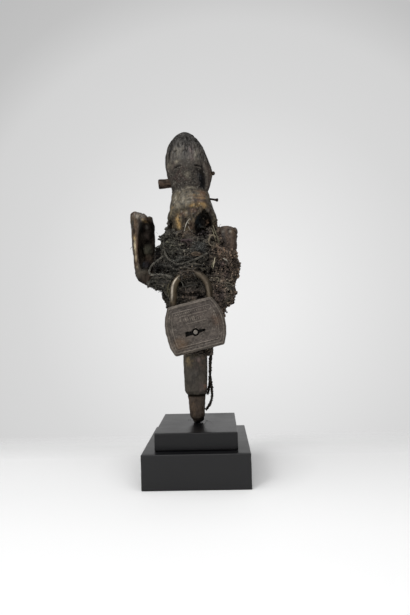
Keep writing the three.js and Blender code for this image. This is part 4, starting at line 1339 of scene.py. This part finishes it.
def woven(tree):
    """A scrap of coarse cloth stuck in the crust, its threads passing over and under each other."""
    lines = []
    cos, sin = math.cos(WOVEN_TILT), math.sin(WOVEN_TILT)
    for count, other, way in ((8, 12, 1), (12, 8, -1)):
        far = np.arange(-other / 2 - 0.2, other / 2 + 0.3, 0.25) * WOVEN_PITCH
        for k in range(count):
            wander = 0.15 * noise(far[:, None] * (1, 0, 0), 3, 160 + k)
            across = (k - count / 2 + 0.5) * WOVEN_PITCH + wander
            u, v = (far, across)[::way]
            x, z = WOVEN_MIDDLE[0] + cos * u - sin * v, WOVEN_MIDDLE[1] + sin * u + cos * v
            met = [tree.ray_cast(Vector((a, -60, b)), Vector((0, 1, 0)), 60)[0] for a, b in zip(x, z)]
            front = np.array([place.y if place is not None else -24 for place in met])
            swing = way * (-1) ** k * np.cos(math.pi * far / WOVEN_PITCH)
            y = np.minimum(front, eased(front)) - 0.5 + 0.32 * swing
            lines.append((np.stack([x, y, z], axis=1), 0.95))
    return lines


def flat_string(line, size):
    return tube(line, size / 2, 6, 0.75, 3.2)


def round_string(line, size):
    return twine(evenly(line, 0.85), size, 5, 3.6)


def bundle():
    """The crust, and two layers of string on it: flat ones sunk into it, and round ones that lie on top."""
    crust = crust_body()
    tree = BVHTree.FromPolygons(crust[0].tolist(), crust[1].tolist())
    rng = np.random.default_rng(12)
    flat = wound(tree, rng, 26, 128, 236, 1.5, 0.0, 1.3, 0.0, 2.0) + netted(tree, rng)
    # The sunk layer is painted darker, at 0.7, as shade under the strings on top.
    shape, paint = painted(flat, flat_string, rng, 0.7)
    cloth, cloth_paint = painted(woven(tree), flat_string, rng, 1.0, (84, 85, 80))
    under, paint = joined([shape, cloth]), np.concatenate([paint, cloth_paint])
    piece("under_windings", under, string_material("under_string"), (), paint)
    rng = np.random.default_rng(31)
    tight = wound(tree, rng, 17, 176, 230, 1.5, 0.4, 0.85, -0.35, 0.5, 6, (0.2, 0.9))
    tight += wound(tree, rng, 6, 170, 230, 1.5, 0.4, 0.85, 1.0, 0.5, 14, (0.15, 0.7))
    tight += wound(tree, rng, 12, 132, 232, 1.7, 0.5, 0.85, math.pi, 1.3)
    tight += bindings() + curls(crust, rng, 210)
    tight += snarl((26.6, -22, 219), 3.4, 9, rng) + snarl((-30.5, -13, 236.5), 2.2, 4, rng)
    shape, paint = painted(tight, round_string, rng, 0.9)
    piece("over_windings", shape, string_material("over_string"), (), paint)
    return crust, joined([under, shape])


def crumbs(name, shape, count, seed, weight, largest):
    """Grains of dried crust stuck on a shape: most as dark as it is, and a few pale ones."""
    rng = np.random.default_rng(seed)
    places, normals = scattered(shape, count, rng, weight)
    sizes = rng.uniform(0.35, largest, count) * rng.choice([1, 1, 1, 1.5], count)
    made = pebbles(places + normals * (0.4 * sizes)[:, None], sizes, 1, rng)
    shade = rng.choice([0.4, 0.8, 1.1, 1.6], (count, 1))
    paint = crust_tint(places) * shade * rng.uniform(0.7, 1.3, (count, 1))
    paint[(rng.random(count) < 0.045) & (sizes < 0.9)] = tone(156, 147, 130)
    paint = np.repeat(paint, len(made[0]) // count, axis=0)
    piece(name, made, crust_material(name), (), paint)


def clear(at):
    """0 on the lock and in the open gap at the lower left, where nothing is stuck."""
    return outside_lock(at, 1.5) * (1 - near(at, (-30, -8, 156), (12, 16, 12)))


def crust_weight(at):
    return (0.45 + 1.4 * rise(at[:, 0], 5, 20)) * rise(at[:, 2], 118, 128) * clear(at)


def string_weight(at):
    return rise(-at[:, 1], -12, 4) * rise(at[:, 2], 150, 170) * clear(at)


# Padlock

def case_inset(points):
    """How far inside the case's outline each point is, seen from the front."""
    x, z = points[:, 0], points[:, 2]
    share = z / (CASE_HEIGHT / 2 - 1.6)
    half = CASE_WIDTH / 2 + 0.4 - 6.2 * share ** 2 - 0.5 * share
    return np.minimum(half - abs(x), CASE_HEIGHT / 2 - abs(z))


MARK_ROWS = ((13.4, 16.4, -15, 14, 1.8), (5.4, 9.4, -7, 11, 2))  # bottom, top, left, right, step
RULES_AND_BOSS = (  # centre, half the width, half the height
    ((0, 18.6), 19, 0.2), ((0.5, 11.4), 14, 0.2), ((2, 3.5), 10.5, 0.2), ((-12.4, 8.4), 1.1, 1.1),
)


def stroke(points, centre, half_wide, half_high):
    """1 on a short raised stroke of the face, with eased edges."""
    x, z = abs(points[:, 0] - centre[0]), abs(points[:, 2] - centre[1])
    return rise(half_wide + 0.35 - x, 0, 0.55) * rise(half_high + 0.35 - z, 0, 0.55)


def worn_marks(points):
    """Two rows of worn upright strokes of uneven height, rules between them, and a plain square boss."""
    rng = np.random.default_rng(3)
    marks = [stroke(points, *mark) for mark in RULES_AND_BOSS]
    for low, high, left, right, step in MARK_ROWS:
        for x in np.arange(left, right, step):
            tall = (high - low) / 2 * rng.uniform(0.75, 0.95)
            marks.append(stroke(points, (x, (low + high) / 2), 0.3, tall))
    return np.max(marks, axis=0)


def keyhole_at(points, grow):
    """1 inside the keyhole's outline, grown by so much: a ring, and a slot that reaches to both sides."""
    x, z = points[:, 0] - KEYHOLE_AT[0], points[:, 2] - KEYHOLE_AT[1]
    ring = rise(3.6 + grow - np.hypot(x, z), 0, 0.3)
    half = np.where(x < 0, 1.6 - 0.06 * x, 1.9 - 0.105 * x)
    slot = rise(9.6 + grow - abs(x), 0, 0.3) * rise(half + grow - abs(z), 0, 0.3)
    return np.maximum(ring, slot)


BORDER_RIDGES = (  # distance from the outline, width, height
    (2.4, 0.5, 0.55), (4.9, 0.45, 0.4), (7.2, 0.5, 0.5),
)
CASE_BLOOMS = (  # centre, size, colour, share
    ((-17.5, 0, -13), (6, 9, 5), (140, 104, 64), 0.7), ((21, 0, 1), (4, 9, 6), (124, 90, 66), 0.6),
    ((0, 0, 17), (20, 9, 3), (84, 76, 78), 0.4), ((12, 0, -15), (9, 9, 3), (84, 76, 76), 0.4),
    ((-22, 0, 8), (3, 9, 10), (126, 122, 112), 0.4), ((8, 0, 12), (10, 9, 6), (100, 82, 80), 0.3),
)


def padlock_case():
    """The case with its border lines, keyhole, seams round the rim, worn marks and a plain back."""
    points, faces = node_shape("padlock_case")
    points, faces = fused([(lock_frame(points, LOCK_AT, LOCK_LEAN), faces)], CASE_VOXEL, 1)
    normals = normals_of((points, faces))
    inset = case_inset(points)
    y = points[:, 1]
    front = rise(-normals[:, 1], 0.8, 0.95) * rise(-y, 6.4, 6.8)
    back = rise(normals[:, 1], 0.8, 0.95) * rise(y, 6.8, 7.2)
    rim = 1 - np.maximum(front, back)
    marks = worn_marks(points) * rise(inset, 7.9, 8.6) * front * (1 - keyhole_at(points, 1))
    ridges = sum(high * band(inset, at, wide) for at, wide, high in BORDER_RIDGES) * front
    relief = 0.6 * marks * (0.7 + 0.4 * noise(points, 5, 96)) + ridges
    relief += 0.22 * front * band(keyhole_at(points, 1.3), 0.5, 0.3)
    relief -= 0.32 * rim * band(abs(y), 4.9, 0.35)
    relief += 0.14 * noise(points, 5, 91, 2) - 0.35 * patchy(points, 2.2, 92, 0.6, 1)
    relief += 0.25 * back * band(inset, 5, 0.6)
    points = points + normals * relief[:, None]
    points[:, 0] -= 2.6 * rise(-points[:, 0], 2, 22) * rise(-points[:, 2], 2, 22)
    paint = case_paint(points, inset, front, rim, marks, ridges)
    polish = 0.45 + 0.5 * band(inset, 0.5, 1.2) + 0.3 * near(points, (-10, 0, 5), (12, 9, 12))
    shape = world_frame(points, LOCK_AT, LOCK_LEAN), faces
    piece("padlock_body", shape, steel_material(), ["padlock_case"], paint, polish)


def case_paint(points, inset, front, rim, marks, ridges):
    """Brown steel, pale on what is raised and dark beside it, with rust blooms, specks and a dark seam."""
    mottle = 0.3 * noise(points, 8, 93, 3) + 0.5 * noise(points, (1.9, 1.9, 1.2), 99, 2)
    edge = np.maximum(ridges, 0.6 * marks)
    beside = front * rise(edge, 0.01, 0.06) * (1 - rise(edge, 0.08, 0.2))
    raised = front * rise(edge, 0.2, 0.5) * (1 + 0.6 * noise(points, 3, 90, 2))
    paint = layered(
        swung((98, 90, 83), mottle),
        ((48, 43, 41), 0.7 * beside),
        ((162, 151, 138), 0.64 * raised),
        ((150, 140, 128), 0.5 * band(inset, 0.4, 0.9)),
    )
    paint = spotted(paint, points, CASE_BLOOMS, 1 + 0.6 * noise(points, 2, 94, 2))
    specks = rise(noise(points, 1.1, 95), 0.3, 0.6)
    return layered(
        paint,
        ((196, 188, 176), 0.8 * specks * near(points, (19, 0, 10), (4, 9, 6))),
        ((188, 180, 168), 0.3 * front * rise(noise(points, 1.3, 97), 0.5, 0.8)),
        ((44, 38, 35), 0.35 * patchy(points, 2.2, 92, 0.5, 0.9)),
        # the keyhole painted near black, as shade in its recess
        ((14, 12, 11), keyhole_at(points, 0) * (points[:, 1] < 2)),
        ((52, 46, 42), 0.6 * rim * band(abs(points[:, 1]), 4.9, 0.5)),
    )


PIN_PROFILE = (  # radius, and y from the front back
    (0.5, -6.98), (1.3, -6.96), (1.8, -6.85), (2.1, -6.55),
    (2.2, -6.1), (2.2, -4), (2.2, -2.6), (1.9, -2.55),
)


def keyhole_pin():
    line = np.array([(KEYHOLE_AT[0], y, KEYHOLE_AT[1]) for _, y in PIN_PROFILE])
    points, faces = tube(line, np.array([radius for radius, _ in PIN_PROFILE]), 32)
    shape = world_frame(points, LOCK_AT, LOCK_LEAN), faces
    paint = plain((150, 143, 134), points)
    piece("keyhole_pin", shape, bronze_material(), ["padlock_keyhole_pin"], paint)


def shackle():
    """The bar, from the longer leg on the left over the arch to the shorter one. Painted highlights run
    along the side of each leg that faces the light, the right leg is painted darker as shade, and the bar
    is darker low down and at the arch's top.
    """
    arch = SHACKLE_RADIUS * (math.pi - 2 * SHACKLE_SPLAY)
    far = np.linspace(0, LONG_LEG + arch + SHORT_LEG, 150) - LONG_LEG
    angle = math.pi - SHACKLE_SPLAY - np.clip(far, 0, arch) / SHACKLE_RADIUS
    before, after = np.minimum(far, 0), np.maximum(far - arch, 0)
    x = SHACKLE_RADIUS * np.cos(angle) + (before + after) * math.sin(SHACKLE_SPLAY)
    z = SHACKLE_RADIUS * np.sin(angle) + (before - after) * math.cos(SHACKLE_SPLAY)
    line = world_frame(np.stack([x, 0 * x, z], axis=1), SHACKLE_AT, SHACKLE_LEAN)
    points, faces = tube(line, SHACKLE_ROD, 32)
    normals = normals_of((points, faces))
    relief = 0.18 * noise(points, 4, 101, 2) - 0.25 * patchy(points, 1.8, 102, 0.6, 1)
    points = points + normals * relief[:, None]
    x, _, z = points.T
    # The right leg is painted darker as shade, and each leg's side that faces the light gets a painted
    # highlight.
    right = rise(x, -4, 6)
    rubbed = (1 - right) * rise(normals @ unit(np.array([-0.45, -0.9, 0])), 0.91, 0.98)
    worn = right * rise(normals @ unit(np.array([-0.3, -0.9, 0.2])), 0.8, 0.97)
    paint = layered(
        swung((102, 89, 70), 0.25 * noise(points, 4, 103, 2)),
        ((76, 68, 56), 0.8 * right),
        ((60, 48, 36), 0.85 * patchy(points, (2.4, 2.4, 6), 104, 0.1, 0.7)),
        # painted highlight on the left leg
        ((226, 214, 196), 0.85 * rubbed * rise(z, 170, 178)),
        # painted highlight on the right leg
        ((150, 136, 116), 0.5 * worn),
        ((50, 42, 34), 0.7 * (1 - rise(z, 166, 172))),
        ((34, 30, 26), 0.8 * near(points, (-4, -30, 199), (8, 9, 5))),
    )
    piece("shackle_bar", (points, faces), bronze_material(), ["padlock_shackle"], paint)


# Pegs and nail

def driven(name, slot, node, inner, tip, profile, sides, colour, end_colour, rough):
    """A peg or nail: its profile is the share of the way along and the radius there."""
    inner, tip = np.array(inner), np.array(tip)
    line = np.array([inner + (tip - inner) * share for share, _ in profile])
    points, faces = tube(line, np.array([radius for _, radius in profile]), sides)
    normals = normals_of((points, faces))
    way = unit(tip - inner)
    at_end = rise(normals @ way, 0.5, 0.9)
    relief = rough * (noise(points, (6, 1.2, 1.2), 111, 2) + noise(points, 2.6, 113, 2))
    points = points + normals * (relief * (1 - 0.5 * at_end))[:, None]
    off = points - inner
    rings = 0.5 + 0.5 * np.cos(5 * np.linalg.norm(off - (off @ way)[:, None] * way, axis=1))
    paint = layered(
        swung(colour, 0.5 * noise(points, (7, 1.4, 1.4), 112, 2)),
        ((26, 21, 18), 0.75 * patchy(points, (3, 1.6, 1.6), 114, 0.05, 0.5)),
        (tone(*end_colour) * (0.85 + 0.2 * rings[:, None]), 0.85 * at_end),
    )
    material = wood_material(name + "_wood", 0.75, 0.5, 0.15)
    piece(name, (points, faces), material, [node], paint)


def rounded(radius):
    """A peg's profile with a flat, slightly broken end."""
    shank = [(share, radius * (1 + 0.03 * math.sin(9 * share))) for share in np.linspace(0, 0.95, 18)]
    broken = ((0.965, 1), (0.985, 0.95), (0.995, 0.86), (0.998, 0.7), (0.9985, 0.5), (0.999, 0.3), (1, 0.1))
    return shank + [(share, radius * part) for share, part in broken]


KNOB = (  # share of the way along, radius
    (0, 1.3), (0.3, 1.3), (0.55, 1.3), (0.66, 1.3), (0.7, 1.5), (0.74, 1.95),
    (0.8, 2.1), (0.88, 2.05), (0.94, 1.8), (0.98, 1.2), (1, 0.5),
)
NAIL = ((0, 0.85), (0.5, 0.9), (0.7, 0.95), (0.84, 1.1), (0.88, 1.5), (0.93, 1.75), (0.97, 1.6), (1, 0.8))
DRIVEN = (  # name, slot, node, inner end, tip, profile, sides, its colour and its end's, roughness
    ("cheek_peg_wood", "peg_wood", "cheek_peg", (-14, -1, 294.6), (-34.2, -1, 293.9), rounded(4.5), 36,
     (84, 66, 52), (118, 100, 84), 0.3),
    ("temple_peg_wood", "peg_wood", "temple_peg", (12, -2, 303.6), (24.2, -2, 303), KNOB, 20,
     (76, 62, 50), (110, 98, 82), 0.12),
    ("rusty_nail", "rusty_iron", "neck_nail", (10, -4, 277.6), (26.8, -4, 274.7), NAIL, 16,
     (52, 44, 40), (70, 64, 58), 0.14),
)


# Loose fibres, stalks and leaves

FIBRES = (  # route, thickness, how oval, colour
    ([(-7.2, -23.6, 240.6), (-6.4, -25.4, 243.8), (-5, -26.4, 247.4), (-3, -26.6, 250.6),
      (-1.4, -26.2, 252.2)], 0.36, 0.9, (224, 218, 202)),
    ([(-4.2, -26.3, 248.6), (-3, -26.4, 248), (-2.2, -26, 247)], 0.28, 0.9, (200, 194, 176)),
    ([(-3, -25.6, 245), (-2.4, -26, 242.6), (-1.6, -25.6, 240.4)], 0.3, 0.9, (190, 182, 162)),
    ([(20.6, -17.4, 247), (22, -18.2, 243), (23.6, -18, 238), (25.6, -16.8, 233), (27.6, -15.6, 228)],
     0.5, 0.7, (136, 130, 108)),
    ([(19.4, -18.6, 244), (21, -19.8, 239), (22, -20.4, 234.4), (23.2, -20, 230)],
     0.34, 0.8, (158, 150, 124)),
    ([(22, -18, 240), (24.4, -18.4, 236), (25.6, -18, 231), (26.2, -17, 227)], 0.36, 0.8, (124, 120, 96)),
    ([(16.2, -22.6, 233), (16.4, -23.6, 229.4), (16.8, -23.6, 232.6), (18.8, -23.8, 235.4),
      (21.6, -23.4, 235.6), (23.8, -22.6, 233.4)], 0.85, 0.6, (136, 124, 104)),
    ([(15.8, -23.4, 231.4), (16.6, -23.8, 227.6), (19, -23.8, 225.4), (21.6, -23.4, 226.4)],
     0.7, 0.6, (118, 108, 92)),
    ([(-11, -24.8, 230), (-9, -26.6, 231.6), (-6, -27.2, 230.9), (-3, -27.2, 231.5),
      (-0.6, -26.6, 230), (1.4, -25.4, 228.6)], 1.05, 0.3, (78, 62, 62)),
    ([(-6.8, -26.6, 229.6), (-4.6, -27.6, 228.8), (-3.6, -27.6, 226.6), (-4.4, -26.6, 224.4)],
     0.9, 0.3, (62, 49, 44)),
    ([(-1.6, -27.2, 217.4), (1.6, -28, 218.9), (5, -28.2, 218.8), (8.8, -27.6, 217.4)],
     0.42, 0.6, (128, 112, 94)),
    ([(-0.8, -27.4, 217.4), (2.4, -28, 217.6), (5.4, -28.2, 217.4), (9.4, -27.4, 216.6)],
     0.36, 0.6, (104, 88, 70)),
    ([(-1.2, -27.2, 216.8), (2, -28, 216.2), (5.2, -28, 215.9), (8.4, -27.4, 216)],
     0.42, 0.6, (120, 102, 84)),
    ([(24.6, -23.4, 222.6), (27, -24.6, 223.2), (29.6, -24, 221.2), (30.4, -22.8, 218.4)],
     0.8, 0.7, (122, 106, 92)),
    ([(24.4, -23.6, 219.6), (25.4, -24.6, 217), (28, -24.4, 216), (30, -23, 217)],
     0.75, 0.7, (110, 96, 82)),
    ([(22, -23.6, 215), (21.4, -25.2, 211), (20.6, -25.4, 207), (19.6, -24.8, 203)],
     0.46, 0.6, (214, 204, 174)),
    ([(19.4, -24.6, 211), (19.2, -25.4, 207), (18.2, -25, 203.6)], 0.28, 0.7, (170, 162, 134)),
    ([(29.6, -22.8, 213), (31.4, -23, 212), (33, -22.2, 211), (34.2, -21.2, 209.8)],
     0.62, 0.6, (208, 200, 186)),
    ([(21.6, -22, 193), (22.8, -22.8, 194.2), (24.6, -22.6, 193.6), (25, -22, 191.6), (23.8, -21.8, 190)],
     0.7, 0.8, (128, 120, 102)),
    ([(-20.4, -24, 193.6), (-23.4, -21.8, 190), (-25.8, -17.4, 185), (-26.6, -14.8, 180)],
     0.7, 0.7, (106, 98, 74)),
    ([(-22.6, -20.6, 186), (-24.6, -16.8, 180), (-25, -14.8, 176)], 0.6, 0.7, (100, 94, 70)),
    ([(-13.9, -34.6, 195.4), (-12.9, -33, 192.6), (-11.2, -28.4, 190.8), (-9.9, -26.8, 188.4),
      (-9.6, -26.4, 185)], 0.75, 0.8, (112, 110, 100)),
    ([(-30, -15, 233), (-32.6, -13.4, 234.6), (-34.4, -12, 235.6), (-35, -11, 234.6)],
     1.0, 0.8, (44, 40, 36)),
    ([(-61.6, -4, 230.4), (-63.2, -4.6, 229), (-64.4, -4.8, 227.2)], 0.22, 0.9, (96, 84, 70)),
)
WHISKERS = (  # start, direction, length
    ((-27, -9, 178), (-1, -0.1, 0.25), 5.5), ((-28, -7, 175), (-1, 0, -0.5), 4.5),
    ((-27.5, -10, 181), (-1, -0.2, 0.9), 4), ((-26, -8, 171), (-1, 0, -0.2), 3.5),
    ((27, -12, 246.5), (0.2, -0.1, 1), 3), ((22, -14, 252), (1, 0, 0.4), 3),
    ((-35, -10, 241), (-0.7, 0, 1), 3), ((44, -4, 206), (1, 0, -0.5), 3), ((34, -8, 171), (1, 0, -0.6), 3),
)
WISP_SHADES = ((96, 88, 74), (70, 62, 54), (150, 140, 116), (54, 50, 44))


def wisp_weight(at):
    return rise(at[:, 2], 130, 160) * outside_lock(at, 1.5) * (0.3 + rise(-at[:, 1], -5, 5))


def loose_fibres(crust):
    """The quills, stalks and curls that have places of their own, and fine wisps all over the crust."""
    rng = np.random.default_rng(71)
    shapes, paints = [], []
    for route, thick, oval, colour in FIBRES:
        line = smooth_line(route, 0.7)
        made = tube(line, tapered(len(line), thick), 8, oval)
        shapes.append(made)
        paints.append(swung(colour, 0.15 * noise(made[0], 2, 72, 2)))
    starts = []
    for place, normal in zip(*scattered(crust, 330, rng, wisp_weight)):
        starts.append((place, normal + rng.normal(size=3) * 0.7, rng.uniform(1.6, 5.5)))
    for start, way, length in [*starts, *WHISKERS]:
        made = wisp(start, way, length, rng.uniform(0.12, 0.24), rng)
        shapes.append(made)
        paints.append(plain(rng.choice(WISP_SHADES), made[0]))
    piece("loose_fibres", joined(shapes), fibre_material(), (), np.concatenate(paints))


# Free cords

CORD_LOOKS = {  # colour, hairs, how it lies, seed, how much thicker the twine is, and how much that varies
    "hanging_cord": ((44, 37, 30), 640, "hanging", 21, 1.3, 0.3),
    "hanging_cord_short": ((40, 34, 28), 440, "hanging", 22, 1.3, 0.3),
    "side_loop_cord": ((112, 108, 98), 40, "loose", 23, 1.12, 0.08),
    "draped_cord": ((104, 100, 90), 60, "loose", 24, 1.12, 0.08),
}


def free_cords():
    """Two-ply string with hairs standing off it. Beads of dried crust cling to the strands that hang."""
    material = string_material("free_string")
    for node, (colour, hairs, lay, seed, thicker, swell) in CORD_LOOKS.items():
        rng = np.random.default_rng(seed)
        line = smooth_line(ROUTES[node], 0.6)
        shapes = [twine(line, CORD * thicker, 7, 4.4, swell, seed)]
        ahead = unit(np.gradient(line, axis=0))
        if lay == "hanging":
            beads = line[4:-3:4]
            beads = beads + rng.normal(size=beads.shape) * 0.3
            shapes.append(pebbles(beads, rng.uniform(1.2, 1.75, len(beads)), 2, rng))
        for index in rng.integers(0, len(line), hairs):
            way = unit(np.cross(ahead[index], rng.normal(size=3))) + ahead[index] * rng.normal() * 0.8
            long, thick = rng.uniform(0.7, 1.6), rng.uniform(0.1, 0.24)
            shapes.append(wisp(line[index] + way * 0.6, way, long, thick, rng))
        shape = joined(shapes)
        paint = swung(colour, 0.8 * noise(shape[0], 1.8, seed, 2))
        made = piece(node + "_twine", shape, material, [node], paint)


# Plinth

def plinth_step(name, node, width, depth, low, high, seed, gloss):
    """A lacquered block with rounded edges, and small dents along them."""
    work = bmesh.new()
    bmesh.ops.create_cube(work, size=1)
    for vertex in work.verts:
        vertex.co = (vertex.co.x * width, vertex.co.y * depth, (vertex.co.z + 0.5) * (high - low) + low)
    bmesh.ops.bevel(work, geom=work.edges[:], offset=0.9, segments=4, profile=0.5, affect="EDGES",
                    clamp_overlap=True)
    longest = [edge for edge in work.edges if edge.calc_length() > 6]
    bmesh.ops.subdivide_edges(work, edges=longest, cuts=22, use_grid_fill=True)
    bmesh.ops.triangulate(work, faces=work.faces[:])
    points, faces = taken_from(work)
    x, y, z = points.T
    sides = [abs(x) > width / 2 - 1.2, abs(y) > depth / 2 - 1.2, z > high - 1.2]
    on_edge = np.sum(sides, axis=0) > 1
    dent = 0.22 * on_edge * patchy(points, 9, seed, 0.35, 0.9) * rise(z - low, 1, 3)
    inward = -unit(points - np.array([0, 0, (low + high) / 2]))
    points = points + inward * dent[:, None]
    piece(name, (points, faces), lacquer_material(name + "_lacquer", gloss), [node])


def fallen_crumbs(count=46):
    """The few grains that lie on the plinth round the stake's foot."""
    rng = np.random.default_rng(9)
    turn = rng.uniform(-1.6, 2.4, count)
    far = rng.gamma(2.0, 3.0, count) + 5
    sizes = rng.uniform(0.15, 0.4, count)
    x, y = far * np.cos(turn) + 2, 0.8 * far * np.sin(turn)
    shape = pebbles(np.stack([x, y, PLINTH_TOP + 0.7 * sizes], axis=1), sizes, 1, rng)
    paint = tone(60, 52, 44) * rng.uniform(0.5, 1.6, (count, 1))
    paint = np.repeat(paint, len(shape[0]) // count, axis=0)
    piece("fallen_crumbs", shape, crust_material("fallen"), (), paint)


# Floor, backdrop, light and camera

def camera_axes():
    turn, pitch, roll = CAMERA_TURN, CAMERA_PITCH, CAMERA_ROLL
    ahead = np.array([math.sin(turn) * math.cos(pitch), math.cos(turn) * math.cos(pitch), math.sin(pitch)])
    level = np.array([math.cos(turn), -math.sin(turn), 0])
    upright = np.cross(level, ahead)
    right = math.cos(roll) * level + math.sin(roll) * upright
    return right, math.cos(roll) * upright - math.sin(roll) * level, ahead


def camera():
    right, up, ahead = camera_axes()
    lens = bpy.data.cameras.new("view")
    lens.sensor_width = SENSOR
    lens.lens = FOCAL_PIXELS / FRAME_HEIGHT * SENSOR
    lens.clip_start, lens.clip_end = 0.01, 20
    holder = bpy.data.objects.new("view", lens)
    bpy.context.collection.objects.link(holder)
    turned_to = Matrix([right, up, -ahead]).transposed()
    holder.matrix_world = Matrix.Translation(Vector(CAMERA_AT) * MM) @ turned_to.to_4x4()
    bpy.context.scene.camera = holder


FLOOR_TONES = ((-400, 0.98), (-230, 0.98), (-140, 0.93), (-60, 0.86), (32, 0.8), (90, 0.76), (400, 0.76))
# Painted shade on the floor: darker towards the right, and a painted shadow round the plinth.
FLOOR_PAINTED_SHADE_RIGHT = (60, 260, 0.9)  # from this x to that one, the floor dims by this factor
FLOOR_PAINTED_SHADOW_MIDDLE = (10, 28, 0)
FLOOR_PAINTED_SHADOW_NEAR = (62, 116, 0.91)  # and round that middle, between these distances
FLOOR_FADES = (50, 160)  # y between which the floor melts into the wall
WALL_BRIGHT_PIXEL = (230, 300)
WALL_TONES = ((0, 239), (0.11, 237), (0.27, 226), (0.4, 216), (0.52, 211), (0.6, 194), (0.72, 186))
WALL_TONES_SEEN = (*WALL_TONES, (1.1, 196), (math.pi, 206))
WALL_TONES_SHED = (*WALL_TONES, (0.82, 140), (1.1, 86), (1.7, 60), (math.pi, 50))
LIGHTS = {  # strength, spread in degrees, and the way it shines
    "key": (2.56, 100, (0.22, 0.7, -1)),
    "glint": (0.64, 14, (0.6, 0.8, -0.8)),
    "top": (0.55, 80, (-0.3, 0.1, -1)),
}


def floor():
    """A flat pale floor, a little greyer towards the back, with painted shade towards the right and a
    painted shadow round the plinth.
    """
    half = 2.5
    corners = [(-half, -half, 0), (half, -half, 0), (half, half, 0), (-half, half, 0)]
    mesh = bpy.data.meshes.new("floor")
    mesh.from_pydata(corners, [], [(0, 1, 2, 3)])
    holder = bpy.data.objects.new("floor", mesh)
    bpy.context.collection.objects.link(holder)
    look = Look("floor", 0.1)
    parted = look.add("SeparateXYZ", {"Vector": look.place})
    x, y = parted.outputs["X"], parted.outputs["Y"]
    low, high = FLOOR_TONES[0][0], FLOOR_TONES[-1][0]
    stops = [((at - low) / (high - low), (value,) * 3) for at, value in FLOOR_TONES]
    tones = look.coloured(look.ramp(y, low * MM, high * MM, 0, 1), stops)
    start, end, least = FLOOR_PAINTED_SHADE_RIGHT
    dim = look.ramp(x, start * MM, end * MM, 1, least)
    middle = tuple(at * MM for at in FLOOR_PAINTED_SHADOW_MIDDLE)
    off = look.add("VectorMath", {0: look.place, 1: middle}, operation="SUBTRACT").outputs[0]
    far = look.add("VectorMath", {0: off}, operation="LENGTH").outputs["Value"]
    start, end, least = FLOOR_PAINTED_SHADOW_NEAR
    dim = look.times(dim, look.ramp(far, start * MM, end * MM, least, 1))
    look.give("Base Color", look.blend(1, tones, look.grey(dim), "MULTIPLY"))
    look.give("Roughness", 0.9)
    melted = look.ramp(y, FLOOR_FADES[0] * MM, FLOOR_FADES[1] * MM, 0, 1)
    clear_part = look.add("BsdfTransparent").outputs[0]
    surface = look.add("MixShader", {0: melted, 1: look.shader.outputs[0], 2: clear_part}).outputs[0]
    look.send(surface, look.tree.nodes["Material Output"].inputs["Surface"])
    mesh.materials.append(look.material)


def world():
    """The wall's glow, brightest beside the figure. Outside the picture it looks pale but sheds little."""
    right, up, ahead = camera_axes()
    across, down = WALL_BRIGHT_PIXEL[0] - FRAME_WIDTH / 2, WALL_BRIGHT_PIXEL[1] - FRAME_HEIGHT / 2
    centre = unit(ahead * FOCAL_PIXELS + right * across - up * down)
    made = bpy.data.worlds.new("studio")
    made.use_nodes = True
    bpy.context.scene.world = made
    wall = Nodes(made.node_tree)
    way = wall.add("TexCoord").outputs["Generated"]
    facing = wall.add("VectorMath", {0: way, 1: tuple(centre)}, operation="DOT_PRODUCT").outputs["Value"]
    angle = wall.add("Math", {0: facing}, operation="ARCCOSINE").outputs[0]
    share = wall.times(angle, 1 / math.pi)
    glows = []
    for stops in (WALL_TONES_SHED, WALL_TONES_SEEN):
        greys = [(at / math.pi, tuple(tone(value, value, value))) for at, value in stops]
        glows.append(wall.coloured(share, greys))
    seen = wall.add("LightPath").outputs["Is Camera Ray"]
    wall.send(wall.blend(seen, *glows), wall.tree.nodes["Background"].inputs["Color"])


def lights():
    for name, (strength, spread, towards) in LIGHTS.items():
        lamp = bpy.data.lights.new(name, "SUN")
        lamp.energy = strength
        lamp.angle = math.radians(spread)
        holder = bpy.data.objects.new(name, lamp)
        bpy.context.collection.objects.link(holder)
        holder.rotation_mode = "QUATERNION"
        holder.rotation_quaternion = Vector(towards).to_track_quat("-Z", "Y")


# Making

camera()
free_cords()
for name, step in STEPS.items():
    plinth_step(name, *step)
fallen_crumbs()
carved_log()
left_billet()
right_billet()
crust, strings = bundle()
crumbs("crust_crumbs", crust, 5200, 44, crust_weight, 1.15)
crumbs("string_crumbs", strings, 3300, 45, string_weight, 0.85)
padlock_case()
keyhole_pin()
shackle()
for peg in DRIVEN:
    driven(*peg)
loose_fibres(crust)
floor()
world()
lights()
bpy.context.scene.view_settings.view_transform = "Standard"
